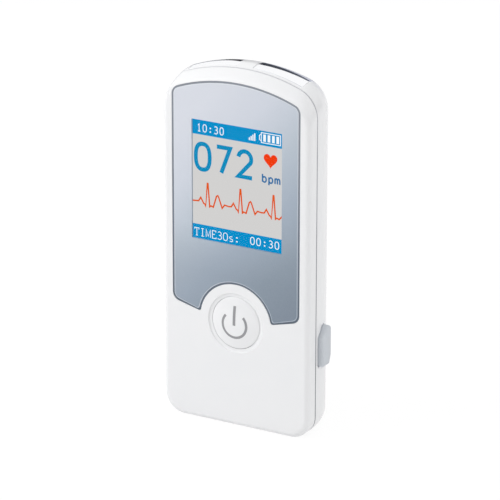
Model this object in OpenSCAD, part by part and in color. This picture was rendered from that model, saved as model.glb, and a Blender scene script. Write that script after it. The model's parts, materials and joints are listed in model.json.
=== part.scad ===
// Handheld heart rhythm monitor, standing on its base: X to the right, Y towards the back,
// Z up. The origin is the middle of the base. A "depth" is measured back from the display face.

/* [Case] */
// Height from the base to the crest of the arched top
case_h = 122; // [119:0.1:126]
// Width across the two sides
case_w = 54.4; // [53.4:0.1:57]
// Depth from the display face to the back
case_d = 21; // [20.8:0.1:22.6]
// Thickness of the front cover behind the display face
front_wall = 2.4; // [2.3:0.05:2.6]
// Thickness of the rear cover, and of the front cover's rim
wall = 1.8; // [1.6:0.05:2]
// Radius of the rounded edge round the display face
edge_r = 1.8; // [1.2:0.1:2.2]
// Radius of the two lower corners
corner_r = 6.8; // [6:0.1:8]
// Radius of the two shoulders
shoulder_r = 9.9; // [8.5:0.1:11.5]
// Radius of the arched top
top_r = 60; // [56:1:68]
// How far the top drops from its crest to the display face
top_drop = 4.4; // [4:0.1:4.6]
// Depth of the crest
crest_depth = 9; // [8:0.1:10]
// How far the sides and the top curve in towards the back
back_curve = 8.5; // [7:0.1:9]
// Radius of the lower edge at the back
foot_r = 5; // [4:0.1:6]
// Depth of the joint line between the two covers
joint_depth = 4.9; // [4.7:0.05:5.1]
// Width of the fine groove at the joint line
joint_gap = 0.2; // [0.1:0.05:0.3]

/* [Display] */
// Margin between the display window and the case's side
window_side = 3.6; // [3.4:0.1:4.6]
// Margin between the top of the window's arch and the case's crest
window_above = 4.6; // [4.5:0.1:5.4]
// Radius of the window's arch
window_arch_r = 60; // [56:1:68]
// Height of the window's lower edge at its outer corners
window_low = 40.5; // [40:0.1:41.5]
// How far that edge falls towards the notch
window_fall = 2.2; // [1.5:0.1:2.6]
// Radius of the window's outer corners
window_corner_r = 3; // [2:0.1:3.4]
// Radius of the notch round the button
notch_r = 13.4; // [12.6:0.1:14]
// Thickness of the window
window_t = 0.8; // [0.7:0.05:0.9]
// Thickness of the adhesive under the window
tape_t = 0.2; // [0.15:0.05:0.25]
// Width of the adhesive at the window's edge
tape_w = 1.8; // [1.5:0.1:2]
// Margin between the picture on the display and the window's side
picture_side = 6.9; // [6.7:0.1:7.6]
// Height of the picture on the display
picture_h = 40.4; // [39:0.1:41]
// Distance from the top of the window's arch down to the picture
picture_below = 14.2; // [13.8:0.1:14.6]
// Border of the display's glass outside the picture
glass_border = 2.6; // [2.2:0.1:2.8]
// Thickness of the display's glass
glass_t = 1.5; // [1.3:0.05:1.6]
// Thickness of the backlight frame behind the glass
backlight_t = 1.6; // [1.4:0.05:1.7]

/* [Button] */
// Height of the button's middle above the base
button_z = 36; // [35.5:0.1:36.4]
// Radius of the button's cap
button_r = 8.9; // [8.5:0.1:9.3]
// How far the middle of the cap stands proud
button_crown = 0.7; // [0.5:0.05:1]
// Travel of the button
button_travel = 0.6; // [0.4:0.05:0.6]
// Radius of the shallow dish round the button
dish_r = 10.3; // [10:0.1:10.6]
// Depth of that dish
dish_depth = 0.5; // [0.3:0.05:0.6]
// Radius of the power symbol's ring
symbol_r = 4.5; // [4.2:0.1:4.8]
// Stroke of the power symbol
symbol_stroke = 0.85; // [0.7:0.05:1]
// Side of the switch under the button
switch_side = 6; // [5.6:0.1:6.4]

/* [Electrodes] */
// Distance of the top electrodes' inner ends from the middle
electrode_in = 3; // [2.6:0.1:3.6]
// Distance of the top electrodes' outer ends from the case's sides
electrode_side = 6.4; // [5.8:0.1:7]
// Depth of the top electrodes' front edge
electrode_front = 5.9; // [5.8:0.05:6.2]
// Depth of the top electrodes' rear edge
electrode_rear = 14.5; // [13.6:0.1:15]
// Thickness of the electrode plates
electrode_t = 0.8; // [0.6:0.05:0.9]
// Width of the base electrode
base_electrode_w = 30; // [26:0.1:32]
// Depth of the base electrode's front edge
base_electrode_front = 6.6; // [6.2:0.1:6.8]
// Size of the base electrode from front to rear
base_electrode_d = 7; // [6.4:0.1:7.4]
// Radius of the studs behind the electrodes
stud_r = 1; // [0.8:0.05:1.1]
// Length of those studs
stud_l = 4; // [3.8:0.1:4.4]

/* [Electronics] */
// Distance of the circuit board's edges from the case's sides
board_side = 3.2; // [3:0.1:3.7]
// Height of the board's lower edge above the base
board_low = 8; // [7.6:0.1:8.6]
// Distance of the board's upper edge below the crest
board_above = 14.6; // [14.4:0.1:15]
// Thickness of the board
board_t = 1.2; // [1:0.05:1.3]
// Depth of the board's front face
board_depth = 5.4; // [5.35:0.05:5.5]
// Side of the large chip
chip_side = 9; // [7:0.5:10]
// Thickness of the chips
chip_t = 0.9; // [0.7:0.05:0.95]
// Width of the radio module
radio_w = 7.4; // [6:0.1:7.6]
// Thickness of the radio module
radio_t = 1.8; // [1.4:0.1:2.4]
// Radius of the buzzer
buzzer_r = 4; // [3:0.1:4.2]
// Thickness of the buzzer
buzzer_t = 3; // [2:0.1:4]

/* [Batteries] */
// Diameter of an AAA cell
cell_d = 10.4; // [10.1:0.1:10.5]
// Length of an AAA cell without its button contact
cell_l = 43.3; // [42.9:0.1:43.5]
// Room at the spring end of a cell
spring_l = 4.5; // [4:0.1:5]
// Middle of the battery compartment above the base
bay_z = 60; // [59:0.1:61]
// Thickness of the compartment's walls
bay_wall = 1.1; // [1:0.05:1.2]
// Width of the battery door
door_w = 30; // [29.6:0.1:30.6]
// Height of the battery door
door_h = 58; // [57.6:0.1:59]
// Thickness of the battery door
door_t = 1.5; // [1.4:0.05:1.6]
// Radius of the door's corners
door_r = 2.5; // [1.5:0.1:3]

/* [Side cover] */
// Height of the side cover's lower end above the base
flap_low = 23.8; // [23.4:0.1:24.2]
// Length of the side cover
flap_l = 13.6; // [13.2:0.1:14]
// Depth of the side cover's front edge
flap_front = 6.5; // [6.25:0.05:6.55]
// Size of the side cover from front to rear
flap_d = 5.8; // [5.4:0.1:6.2]
// How far the side cover stands out of the case
flap_proud = 1.8; // [1.5:0.1:2.1]
// Depth of the pocket that the side cover sits in
flap_pocket = 1.3; // [1.2:0.05:1.4]

/* [Screws and fits] */
// Radius of the case screws
screw_r = 1; // [0.9:0.05:1.1]
// Radius of the case screws' heads
screw_head_r = 1.8; // [1.6:0.05:2]
// Radius of the board screws
board_screw_r = 0.8; // [0.7:0.05:0.9]
// Distance of the case screws from the case's sides
screw_side = 11.6; // [11.2:0.1:12]
// Height of the lower case screws above the base
screw_low = 12; // [11:0.1:13]
// Distance of the upper case screws below the crest
screw_above = 11.4; // [11:0.1:11.6]
// Gap round a moving piece
gap = 0.3; // [0.25:0.05:0.35]
// Gap round a fixed piece
fit = 0.1; // [0.05:0.01:0.15]

/* [Hidden] */
$fn = 48;

front_y = -case_d / 2;
half_w = case_w / 2;

// Window and display
window_half = half_w - window_side;
window_top = case_h - window_above;
recess_depth = window_t + tape_t;
lip_r = 0.8;
lcd_w = 2 * (window_half - picture_side + glass_border);
lcd_high = window_top - picture_below + glass_border;
lcd_low = lcd_high - picture_h - 2 * glass_border;
glass_depth = recess_depth + fit / 2;
backlight_depth = glass_depth + glass_t;
pad_depth = backlight_depth + backlight_t;

// Circuit board
board_half = half_w - board_side;
board_high = case_h - board_above;
board_back = board_depth + board_t;
large_chip_drop = 10.4;
radio_drop = 24.4;
radio_inset = 5.6;

// Battery compartment
bay_half = cell_d + 1.2 * gap;
bay_h = cell_l + 1.2 + spring_l;
bay_low = bay_z - bay_h / 2;
bay_high = bay_z + bay_h / 2;
door_depth = case_d - door_t;
door_low = bay_z - door_h / 2;
door_high = bay_z + door_h / 2;
door_under = case_d - wall - gap;
cell_x = cell_d / 2 + gap / 2;
cell_depth = door_depth - gap - cell_d / 2;
bay_depth = cell_depth - cell_d / 2 - fit;
contact_t = 0.3;

// Hooks at the door's lower edge
hook_x = 9;
hook_w = 5;
hook_l = 1.8;
hook_t = 0.9;

// Screws and their bosses
screw_x = half_w - screw_side;
screw_high = case_h - screw_above;
boss_wall = 1.6;
boss_r = screw_r + boss_wall;
boss_depth = board_back + gap;
head_sink = 8;
head_depth = case_d - head_sink;
head_t = 1.4;
screw_l = head_depth - front_wall - head_t / 2;
head_boss_r = screw_head_r + 1.3;
post_inset = 2.3;
post_rise = 42;
post_drop = 11.4;
post_x = board_half - post_inset;
post_low = board_low + post_rise;
post_high = board_high - post_drop;
post_wall = 1.1;
post_r = board_screw_r + post_wall;
slot_t = 0.4;

// Switch under the button
switch_t = 1.4;
plunger_r = 1.5;
plunger_end = board_depth - switch_t + 0.2;
flange_w = 1.1;
stem_r = 2.2;
crown_base = 0.25;

// Side cover, its socket and the peg that holds its lower end
socket_z = flap_low + flap_l / 2 - 0.4;
socket_h = 7.6;
socket_t = 2.6;
socket_l = 5.6;
socket_wall = 0.3;
socket_depth = board_back + socket_t / 2;
flap_seat = half_w - flap_pocket;
plate_t = 1.7;
plate_x = flap_seat - plate_t;
anchor_r = 0.9;
anchor_depth = flap_front + flap_d - 1.6;
anchor_z = flap_low + 1.7;

// Electrodes, and the flat seats of their nuts
electrode_out = half_w - electrode_side;
stud_x = (electrode_in + electrode_out) / 2;
stud_depth = (electrode_front + electrode_rear) / 2;
base_stud_depth = base_electrode_front + base_electrode_d / 2;
nut_r = stud_r * 2;
nut_t = 1.2;
seat_half = nut_r + 1;
seat_drop = 5.6;
seat_z = case_h - seat_drop;
base_seat_z = electrode_t + 1.6;
base_corner_r = 2;
strip_t = 0.3;

// ---------- curves and solids that several pieces share ----------

function unit(v) = v / norm(v);

// Points of an arc round (cx, cz); first = 1 leaves out its first point
function arc(cx, cz, r, a0, a1, steps, first = 0) =
    [for (i = [first:steps]) let (a = a0 + (a1 - a0) * i / steps) [cx + r * cos(a), cz + r * sin(a)]];

// An arc that rounds the corner b between its neighbours a and c
function round_corner(a, b, c, r, steps) =
    r == 0 ? [b] :
    let (
        u = unit(a - b),
        v = unit(c - b),
        half = acos(u * v) / 2,
        centre = b + unit(u + v) * r / sin(half),
        from = b + u * r / tan(half) - centre,
        to = b + v * r / tan(half) - centre,
        start = atan2(from.y, from.x),
        turn = atan2(from.x * to.y - from.y * to.x, from * to)
    )
    [for (i = [0:steps]) centre + r * [cos(start + turn * i / steps), sin(start + turn * i / steps)]];

// Outline through corners given as [x, z, radius]
function rounded(corners, steps = 6) =
    let (n = len(corners), flat = [for (c = corners) [c[0], c[1]]])
    [
        for (i = [0:n - 1])
            each round_corner(flat[(i + n - 1) % n], flat[i], flat[(i + 1) % n], corners[i][2], steps)
    ];

function mirrored(points) = [for (i = [len(points) - 1:-1:0]) [-points[i].x, points[i].y]];

// Right half of the case's outline, from the base to just before the crest
function case_half(w, top, low, r_low, r_side, r_top) =
    let (
        arch_z = top - r_top,
        dx = w - r_side,
        side_z = arch_z + sqrt(pow(r_top - r_side, 2) - dx * dx),
        turn = atan2(side_z - arch_z, dx)
    )
    concat(
        arc(w - r_low, low + r_low, r_low, -90, 0, 6),
        arc(dx, side_z, r_side, 0, turn, 8),
        arc(0, arch_z, r_top, turn, 90, 8, first = 1)
    );

// How far a quarter ellipse falls, t being 0 at its crown and 1 at its end
function ellipse_fall(t) = 1 - sqrt(1 - min(t * t, 1));

function side_in(depth, deep) =
    depth < edge_r ? edge_r - sqrt(edge_r * edge_r - pow(edge_r - depth, 2)) :
    depth < joint_depth ? 0 :
    back_curve * ellipse_fall((depth - joint_depth) / (deep - joint_depth));

// The arched top rises steeply behind the display face, then gently to its crest
function top_in(depth, deep) =
    depth < crest_depth
        ? top_drop * (1 - pow(1 - pow(1 - depth / crest_depth, 1.5), 1 / 1.5))
        : back_curve * ellipse_fall((depth - crest_depth) / (deep - crest_depth));

function foot_in(depth, deep) =
    depth < edge_r ? edge_r - sqrt(edge_r * edge_r - pow(edge_r - depth, 2)) :
    depth < deep - foot_r ? 0 :
    foot_r * ellipse_fall((depth - deep + foot_r) / foot_r);

// The case's outline at one depth; skin is how far inside the surface, deep where the back is
function case_ring(depth, skin = 0, deep = case_d) =
    let (
        right = case_half(
            half_w - side_in(depth, deep) - skin,
            case_h - top_in(depth, deep) - skin,
            foot_in(depth, deep) + skin,
            corner_r - skin,
            shoulder_r - skin,
            top_r - skin
        ),
        last = len(right) - 1,
        left = mirrored([for (i = [0:last - 1]) right[i]])
    )
    concat(right, left);

// A closed solid through a list of rings with equal numbers of points
module skin_through(rings) {
    n = len(rings[0]);
    m = len(rings);
    points = [for (ring = rings) each ring];
    sides = [for (k = [0:m - 2], i = [0:n - 1]) let (j = (i + 1) % n, a = k * n, b = a + n)
        each [[a + i, a + j, b + j], [a + i, b + j, b + i]]];
    front = [for (i = [n - 1:-1:0]) i];
    back = [for (i = [0:n - 1]) (m - 1) * n + i];
    polyhedron(points, concat(sides, [front, back]));
}

// Part of the case's form between the listed depths
module case_form(depths, skin = 0, deep = case_d) {
    skin_through([for (d = depths) [for (p = case_ring(d, skin, deep)) [p.x, front_y + d, p.y]]]);
}

// Depths that follow the rounded back, from one depth to the back
function back_depths(from, deep, steps = 12) =
    [for (i = [0:steps]) from + (deep - from) * sin(90 * i / steps)];

// An XZ outline made solid between two depths
module slab(d0, d1) {
    translate([0, front_y + d1, 0]) rotate([90, 0, 0]) linear_extrude(d1 - d0) children();
}

// A rod along the depth
module rod(x, z, d0, d1, r) {
    translate([x, front_y + d1, z]) rotate([90, 0, 0]) cylinder(r = r, h = d1 - d0);
}

// A box from its X, depth and Z limits
module block(xs, ds, zs) {
    translate([xs[0], front_y + ds[0], zs[0]])
        cube([xs[1] - xs[0], ds[1] - ds[0], zs[1] - zs[0]]);
}

module rounded_block(w, low, high, r, d0, d1) {
    slab(d0, d1) polygon(rounded([[w / 2, low, r], [w / 2, high, r], [-w / 2, high, r], [-w / 2, low, r]]));
}

module both_sides() {
    children();
    mirror([1, 0, 0]) children();
}

module at_case_screws() {
    for (z = [screw_low, screw_high])
        both_sides() translate([screw_x, 0, z]) children();
}

module at_board_posts() {
    for (z = [post_low, post_high])
        both_sides() translate([post_x, 0, z]) children();
}

// A cross slot for a screwdriver, sunk into a head whose face is at this depth
module cross_slot(half_l, depth, deep) {
    half_t = slot_t / 2;
    block([-half_l, half_l], [depth - deep, depth + 1], [-half_t, half_t]);
    block([-half_t, half_t], [depth - deep, depth + 1], [-half_l, half_l]);
}

// ---------- front cover and display ----------

// Outline of the window, drawn "by" outside or inside its edge
function window_outline(by = 0) =
    let (
        w = window_half + by,
        r = window_arch_r + by,
        arch_z = window_top - window_arch_r,
        arch_x = window_half - window_corner_r,
        arch = [for (i = [7:-1:0]) let (x = arch_x * i / 7) [x, arch_z + sqrt(r * r - x * x), 0]],
        inner_r = notch_r - by,
        lip_z = window_low - window_fall - by,
        lip_x = sqrt(inner_r * inner_r - pow(lip_z - button_z, 2)),
        lip_a = atan2(lip_z - button_z, lip_x),
        clear_a = 2.5 * asin(lip_r / inner_r),
        notch = arc(0, button_z, inner_r, 90, lip_a + clear_a, 8),
        right = concat(
            [for (p = notch) [p.x, p.y, 0]],
            [[lip_x, lip_z, lip_r]],
            [[w, window_low - by, window_corner_r + by]],
            [[w, arch_z + sqrt(r * r - w * w), window_corner_r + by]],
            arch
        ),
        left = [for (i = [len(right) - 2:-1:1]) [-right[i][0], right[i][1], right[i][2]]]
    )
    rounded(concat(right, left));

module front_cover() {
    screw_fit = fit / 2;
    rim = case_half(
        half_w - wall,
        case_h - top_in(front_wall, case_d) - wall,
        wall,
        corner_r - wall,
        shoulder_r - wall,
        top_r - wall
    );
    rim_left = mirrored([for (i = [0:len(rim) - 2]) rim[i]]);
    color("white") difference() {
        union() {
            difference() {
                case_form(concat(
                    [for (i = [0:4]) edge_r * (1 - cos(90 * i / 4))],
                    [(edge_r + joint_depth) / 2, joint_depth - joint_gap / 2]
                ));
                slab(front_wall, joint_depth + 1) polygon(concat(rim, rim_left));
            }
            at_case_screws() rod(0, 0, front_wall - 0.2, boss_depth, boss_r);
            at_board_posts() rod(0, 0, front_wall - 0.2, board_depth, post_r);
        }
        slab(-1, recess_depth) polygon(window_outline(fit));
        rounded_block(lcd_w + 2 * fit, lcd_low - fit, lcd_high + fit, 0.5, 0, front_wall + 1);
        rod(0, button_z, -1, front_wall + 1, button_r + gap);
        rod(0, button_z, -1, dish_depth, dish_r);
        at_case_screws() rod(0, 0, front_wall, boss_depth + 1, screw_r + screw_fit);
        at_board_posts() rod(0, 0, front_wall, board_depth + 1, board_screw_r + screw_fit);
    }
}

module display_window() {
    color("lightsteelblue") slab(0, window_t) polygon(window_outline());
}

module window_adhesive() {
    color("dimgray") difference() {
        slab(window_t, recess_depth) polygon(window_outline(-fit));
        slab(window_t - 1, recess_depth + 1) polygon(window_outline(-tape_w));
    }
}

module lcd_glass() {
    color("lightgray") rounded_block(lcd_w, lcd_low, lcd_high, 0.4, glass_depth, backlight_depth);
}

module lcd_backlight() {
    color("whitesmoke") rounded_block(lcd_w, lcd_low, lcd_high, 0.4, backlight_depth, pad_depth);
}

module lcd_pad() {
    inset = 2;
    color("black")
        rounded_block(lcd_w - 2 * inset, lcd_low + inset, lcd_high - inset, 1, pad_depth, board_depth);
}

// The ribbon leaves the display at its lower edge and turns back onto the board
module lcd_ribbon() {
    ribbon_w = 18;
    ribbon = [-ribbon_w / 2, ribbon_w / 2];
    ribbon_t = 0.2;
    start = backlight_depth + 0.5;
    low = lcd_low - 2;
    color("darkorange") {
        block(ribbon, [start, start + ribbon_t], [low + ribbon_t, lcd_low]);
        block(ribbon, [start, board_depth], [low, low + ribbon_t]);
    }
}

// ---------- circuit board ----------

module main_board() {
    cut = 3;
    corner = [
        [board_half, board_low + cut, 1],
        [board_half, board_high - cut, 1],
        [board_half - cut, board_high, 1]
    ];
    foot = [board_half - cut, board_low, 1];
    left = [for (i = [2:-1:0]) [-corner[i][0], corner[i][1], corner[i][2]]];
    color("seagreen") difference() {
        slab(board_depth, board_back)
            polygon(rounded(concat([foot], corner, left, [[-foot[0], foot[1], foot[2]]])));
        at_case_screws() rod(0, 0, board_depth - 1, board_back + 1, boss_r + fit);
        at_board_posts() rod(0, 0, board_depth - 1, board_back + 1, board_screw_r + fit);
    }
}

module board_screws() {
    head = board_back + 0.9;
    color("silver") at_board_posts() {
        rod(0, 0, front_wall + fit, board_back, board_screw_r);
        difference() {
            rod(0, 0, board_back, head, board_screw_r * 1.7);
            cross_slot(board_screw_r + fit, head, slot_t);
        }
    }
}

// A flat part on the board's rear face
module chip(x, z, w, h, t) {
    block([x - w / 2, x + w / 2], [board_back, board_back + t], [z - h / 2, z + h / 2]);
}

module processor_chips() {
    side_x = board_half - 6;
    small = chip_side * 0.56;
    low_z = board_low + 11;
    color("#222222") {
        chip(-4, low_z, chip_side - 2, chip_side - 2, chip_t);
        chip(8, low_z, small, small, chip_t);
        chip(-chip_side / 2, board_high - large_chip_drop, chip_side, chip_side, chip_t);
        chip(side_x, bay_z + 10, small - 1, small, chip_t);
        chip(-side_x, bay_z - 4, small - 1, small, chip_t);
    }
}

module radio_module() {
    color("silver")
        chip(radio_inset - board_half, board_high - radio_drop, radio_w, radio_w * 1.6, radio_t);
}

// A long can with round ends
module quartz_crystal() {
    crystal_w = 7;
    crystal_r = 1.3;
    color("gainsboro") translate([2, 0, board_low + 4])
        rounded_block(crystal_w, -crystal_r, crystal_r, crystal_r - 0.05, board_back, board_back + 1.2);
}

module board_capacitors() {
    long = 2;
    short = 1.2;
    pitch = long + short;
    color("tan") {
        for (i = [0:4]) chip(3 - board_half, board_low + 6 + pitch * i, long, short, chip_t);
        for (i = [0:4]) chip(board_half - 6.5, bay_z - 16 + pitch * i, long, short, chip_t);
        for (i = [0:3]) chip(3 + pitch * i, board_high - 14.4, short, long, chip_t);
    }
}

module buzzer() {
    hole_r = 0.8;
    color("black") translate([board_half - 2 * buzzer_r, 0, board_high - 6.9]) difference() {
        rod(0, 0, board_back, board_back + buzzer_t, buzzer_r);
        rod(0, 0, board_back + buzzer_t - hole_r, board_back + buzzer_t + 1, hole_r);
    }
}

// Sheet metal shell of the socket, open to the side, with its contact tongue
module usb_socket() {
    mouth = plate_x - fit;
    inner = mouth - socket_l + 2 * socket_wall;
    half = socket_h / 2;
    hollow = half - socket_wall;
    tongue_half = half - 1.3;
    color("silver") {
        difference() {
            block([mouth - socket_l, mouth], [board_back, board_back + socket_t],
                [socket_z - half, socket_z + half]);
            block([inner, mouth + 1], [board_back + socket_wall, board_back + socket_t - socket_wall],
                [socket_z - hollow, socket_z + hollow]);
        }
        block([inner - 0.1, mouth - 0.8], [socket_depth - 0.25, socket_depth + 0.25],
            [socket_z - tongue_half, socket_z + tongue_half]);
    }
}

// ---------- button ----------

// A cap with a crowned face, a retaining flange and a stem down to the switch
module power_button() {
    flange = front_wall + gap;
    flange_back = flange + 0.7;
    inner_r = button_r - 1.2;
    cap_t = 1;
    color("white") difference() {
        turned_cap(concat(
            crown_points(),
            [
                [button_r, -flange], [button_r + flange_w, -flange],
                [button_r + flange_w, -flange_back], [inner_r, -flange_back],
                [inner_r, -cap_t], [stem_r, -cap_t], [stem_r, -flange], [0, -flange]
            ]
        ));
        symbol_solid(fit / 2, 1);
    }
}

// Profile of the crowned face, from its middle to its edge
function crown_points(lift = 0) =
    [for (i = [0:8]) let (t = i / 8) [button_r * t, button_crown * (1 - t * t) + crown_base + lift]];

module turned_cap(profile) {
    translate([0, front_y, button_z]) rotate([90, 0, 0]) rotate_extrude() polygon(profile);
}

// Ring with a gap at the top and an upright bar, sunk into the cap
module symbol_solid(by = 0, lift = 0) {
    sink = 0.45;
    opening = 45;
    inner = symbol_r - symbol_stroke / 2 - by;
    outer = symbol_r + symbol_stroke / 2 + by;
    bar = symbol_stroke / 2 + by;
    first = 90 + opening;
    last = 450 - opening;
    intersection() {
        union() {
            slab(-2, sink) polygon(concat(
                arc(0, button_z, outer, first, last, 32),
                arc(0, button_z, inner, last, first, 32)
            ));
            block([-bar, bar], [-2, sink], [button_z - by, button_z + symbol_r + 2 * bar]);
        }
        turned_cap(concat(crown_points(lift), [[button_r, -1], [0, -1]]));
    }
}

module power_symbol() {
    color("gray") symbol_solid();
}

module switch_plunger() {
    color("dimgray") rod(0, button_z, front_wall + gap, plunger_end, plunger_r);
}

module switch_base() {
    side = switch_side / 2;
    color("silver") difference() {
        block([-side, side], [board_depth - switch_t, board_depth], [button_z - side, button_z + side]);
        rod(0, button_z, board_depth - switch_t - 1, plunger_end + button_travel + fit, plunger_r + fit);
    }
}

// ---------- rear cover ----------

module rear_shell() {
    deep = case_d - wall;
    start = joint_depth + joint_gap / 2;
    difference() {
        case_form(back_depths(start, case_d));
        case_form(concat([start - 1], back_depths(start, deep)), wall, deep);
    }
}

// Walls round the two cells, their floor, and the ledge that the door lies on
module battery_bay() {
    ledge = door_depth - gap;
    outer = bay_half + bay_wall;
    block([-outer, outer], [bay_depth - bay_wall, ledge], [bay_low - bay_wall, bay_high + bay_wall]);
    rounded_block(door_w + 4, door_low - 3, door_high + 2, door_r, ledge - 1, case_d - wall + 0.2);
}

module door_hole() {
    hook_half = hook_w / 2 + gap;
    rounded_block(
        door_w + 2 * gap, door_low - gap, door_high + gap, door_r + gap, door_depth - gap, case_d + 1
    );
    block([-bay_half, bay_half], [bay_depth, case_d], [bay_low, bay_high]);
    // Room for the door's two hooks to swing in
    both_sides() block([hook_x - hook_half, hook_x + hook_half],
        [door_under - 2.6, case_d - wall], [door_low - hook_l - gap, door_low + 3.5]);
}

module rear_cover() {
    plate_back = flap_front + flap_d + wall;
    color("white") difference() {
        union() {
            rear_shell();
            intersection() {
                case_form(back_depths(joint_depth, case_d), wall / 2);
                union() {
                    battery_bay();
                    at_case_screws() rod(0, 0, boss_depth, case_d, head_boss_r);
                    block([plate_x, half_w], [board_back + 0.2, plate_back],
                        [flap_low - 2, flap_low + flap_l + 2]);
                    both_sides() top_seat();
                    base_seat();
                }
            }
        }
        door_hole();
        both_sides() electrode_top_form(fit, 1);
        base_electrode_form(fit);
        at_case_screws() {
            rod(0, 0, boss_depth - 1, case_d, screw_r + fit);
            rod(0, 0, head_depth, case_d + 1, screw_head_r + fit);
        }
        flap_hole();
        both_sides() translate([stud_x, front_y + stud_depth, seat_z - 1])
            cylinder(r = stud_r + fit, h = case_h - seat_z);
        translate([0, front_y + base_stud_depth, 0]) cylinder(r = stud_r + fit, h = base_seat_z + 1);
    }
}

// Flat seats inside the wall for the electrodes' nuts
module top_seat() {
    block([stud_x - seat_half, stud_x + seat_half], [stud_depth - seat_half, stud_depth + seat_half],
        [seat_z, case_h]);
}

module base_seat() {
    block([-seat_half, seat_half], [base_stud_depth - seat_half, base_stud_depth + seat_half],
        [0, base_seat_z]);
}

// ---------- electrodes ----------

// Band of the arched top between two skins, drawn "by" larger than the plate and "proud" of the case
module electrode_top_form(by = 0, proud = 0) {
    steps = 8;
    first = electrode_front - by;
    last = electrode_rear + by;
    depths = [for (i = [0:steps]) first + (last - first) * i / steps];
    intersection() {
        difference() {
            case_form(depths, -proud);
            case_form(concat([first - 1], depths, [last + 1]), electrode_t + by);
        }
        block([electrode_in - by, electrode_out + by], [0, case_d], [case_h - shoulder_r, case_h + 5]);
    }
}

module top_electrode() {
    electrode_top_form();
    low = seat_z - nut_t - 1;
    high = case_h - stud_x * stud_x / top_r / 2 - electrode_t / 2;
    translate([stud_x, front_y + stud_depth, low]) cylinder(r = stud_r, h = high - low);
}

module electrode_top_right() {
    color("silver") top_electrode();
}

module electrode_top_left() {
    color("silver") mirror([1, 0, 0]) top_electrode();
}

module base_electrode_form(by = 0) {
    w = base_electrode_w / 2 + by;
    d0 = base_electrode_front - by;
    d1 = base_electrode_front + base_electrode_d + by;
    translate([0, front_y, -by]) linear_extrude(electrode_t + 2 * by)
        polygon(rounded([for (p = [[w, d0], [w, d1], [-w, d1], [-w, d0]]) [p.x, p.y, base_corner_r]]));
}

module electrode_base() {
    color("silver") {
        base_electrode_form();
        translate([0, front_y + base_stud_depth, electrode_t / 2])
            cylinder(r = stud_r, h = stud_l);
    }
}

module nut() {
    difference() {
        cylinder(r = nut_r, h = nut_t, $fn = 6);
        translate([0, 0, -1]) cylinder(r = stud_r + fit / 2, h = nut_t + 2);
    }
}

module electrode_nuts() {
    color("goldenrod") {
        both_sides() translate([stud_x, front_y + stud_depth, seat_z - nut_t]) nut();
        translate([0, front_y + base_stud_depth, base_seat_z]) nut();
    }
}

// Bent strips from the studs' ends to the board's rear face
module electrode_contacts() {
    top_z = seat_z - nut_t - 1;
    base_z = electrode_t / 2 + stud_l;
    strip = [board_back, board_back + strip_t];
    strip_w = 2 * stud_r;
    top_x = stud_x - 2 * strip_w;
    color("gold") {
        both_sides() {
            block([top_x, stud_x + stud_r], [strip[1], stud_depth + stud_r], [top_z - strip_t, top_z]);
            block([top_x, top_x + strip_w], strip, [board_high - 2.4, top_z]);
        }
        block([-stud_r, stud_r], [strip[1], base_stud_depth + stud_r], [base_z, base_z + strip_t]);
        block([-stud_r, stud_r], strip, [base_z, board_low + 2.4]);
    }
}

// ---------- batteries ----------

// One cell, its button contact at the upper end
module cell() {
    nub_r = 1.9;
    color("steelblue") {
        cylinder(d = cell_d, h = cell_l);
        translate([0, 0, cell_l]) cylinder(r = nub_r, h = 1);
    }
}

module battery_right() {
    translate([cell_x, front_y + cell_depth, bay_low + spring_l - contact_t]) cell();
}

module battery_left() {
    translate([-cell_x, front_y + cell_depth, bay_high - spring_l + contact_t]) mirror([0, 0, 1]) cell();
}

// A conical coil from its seat, radius r0, up to radius r1
module coil(r0, r1, h, wire) {
    turns = 4;
    steps = 12;
    skin_through([for (i = [0:turns * steps]) let (
            t = i / turns / steps,
            a = -360 * turns * t,
            r = r0 + (r1 - r0) * t
        )
        [for (k = [0:5]) let (b = 60 * k, s = r + wire * cos(b))
            [s * cos(a), s * sin(a), wire + (h - 2 * wire) * t + wire * sin(b)]]]);
}

module battery_springs() {
    h = spring_l - 2 * contact_t;
    wide = cell_d / 2 - 1.6;
    narrow = 2;
    wire = 0.25;
    color("silver") {
        translate([cell_x, front_y + cell_depth, bay_low + contact_t]) coil(wide, narrow, h, wire);
        translate([-cell_x, front_y + cell_depth, bay_high - contact_t])
            mirror([0, 0, 1]) coil(wide, narrow, h, wire);
    }
}

// Plates against the ends of the compartment; the two upper ones are one bridge
module battery_plates() {
    half = cell_d / 2 - 1;
    d = [cell_depth - half, cell_depth + half];
    color("silver") {
        both_sides() block([cell_x - half, cell_x + half], d, [bay_low, bay_low + contact_t]);
        block([-cell_x - half, cell_x + half], d, [bay_high - contact_t, bay_high]);
    }
}

// Plate with two hooks at its lower edge, and a spring tongue with grip grooves at its upper edge
module battery_door() {
    hook = [hook_x - hook_w / 2, hook_x + hook_w / 2];
    hook_depth = door_under - hook_t;
    tongue = 4.4;
    tongue_l = 9;
    slit = 0.6;
    grip_half = tongue - 1;
    grip_pitch = 1.6;
    color("white") difference() {
        union() {
            rounded_block(door_w, door_low, door_high, door_r, door_depth, case_d);
            both_sides() {
                block(hook, [hook_depth, door_depth + fit], [door_low + fit, door_low + 1.6]);
                block(hook, [hook_depth, door_under], [door_low - hook_l, door_low + 1.6]);
            }
            block([-grip_half, grip_half], [door_depth, door_depth + 1],
                [door_high - fit, door_high + gap - fit]);
        }
        both_sides() block([tongue, tongue + slit], [door_depth - 1, case_d + 1],
            [door_high - tongue_l, door_high + 1]);
        for (i = [1:4]) translate([0, 0, door_high - grip_pitch * i])
            block([-grip_half, grip_half], [case_d - 0.4, case_d + 1], [-grip_pitch, -grip_pitch / 2]);
    }
}

// ---------- side cover ----------

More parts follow.
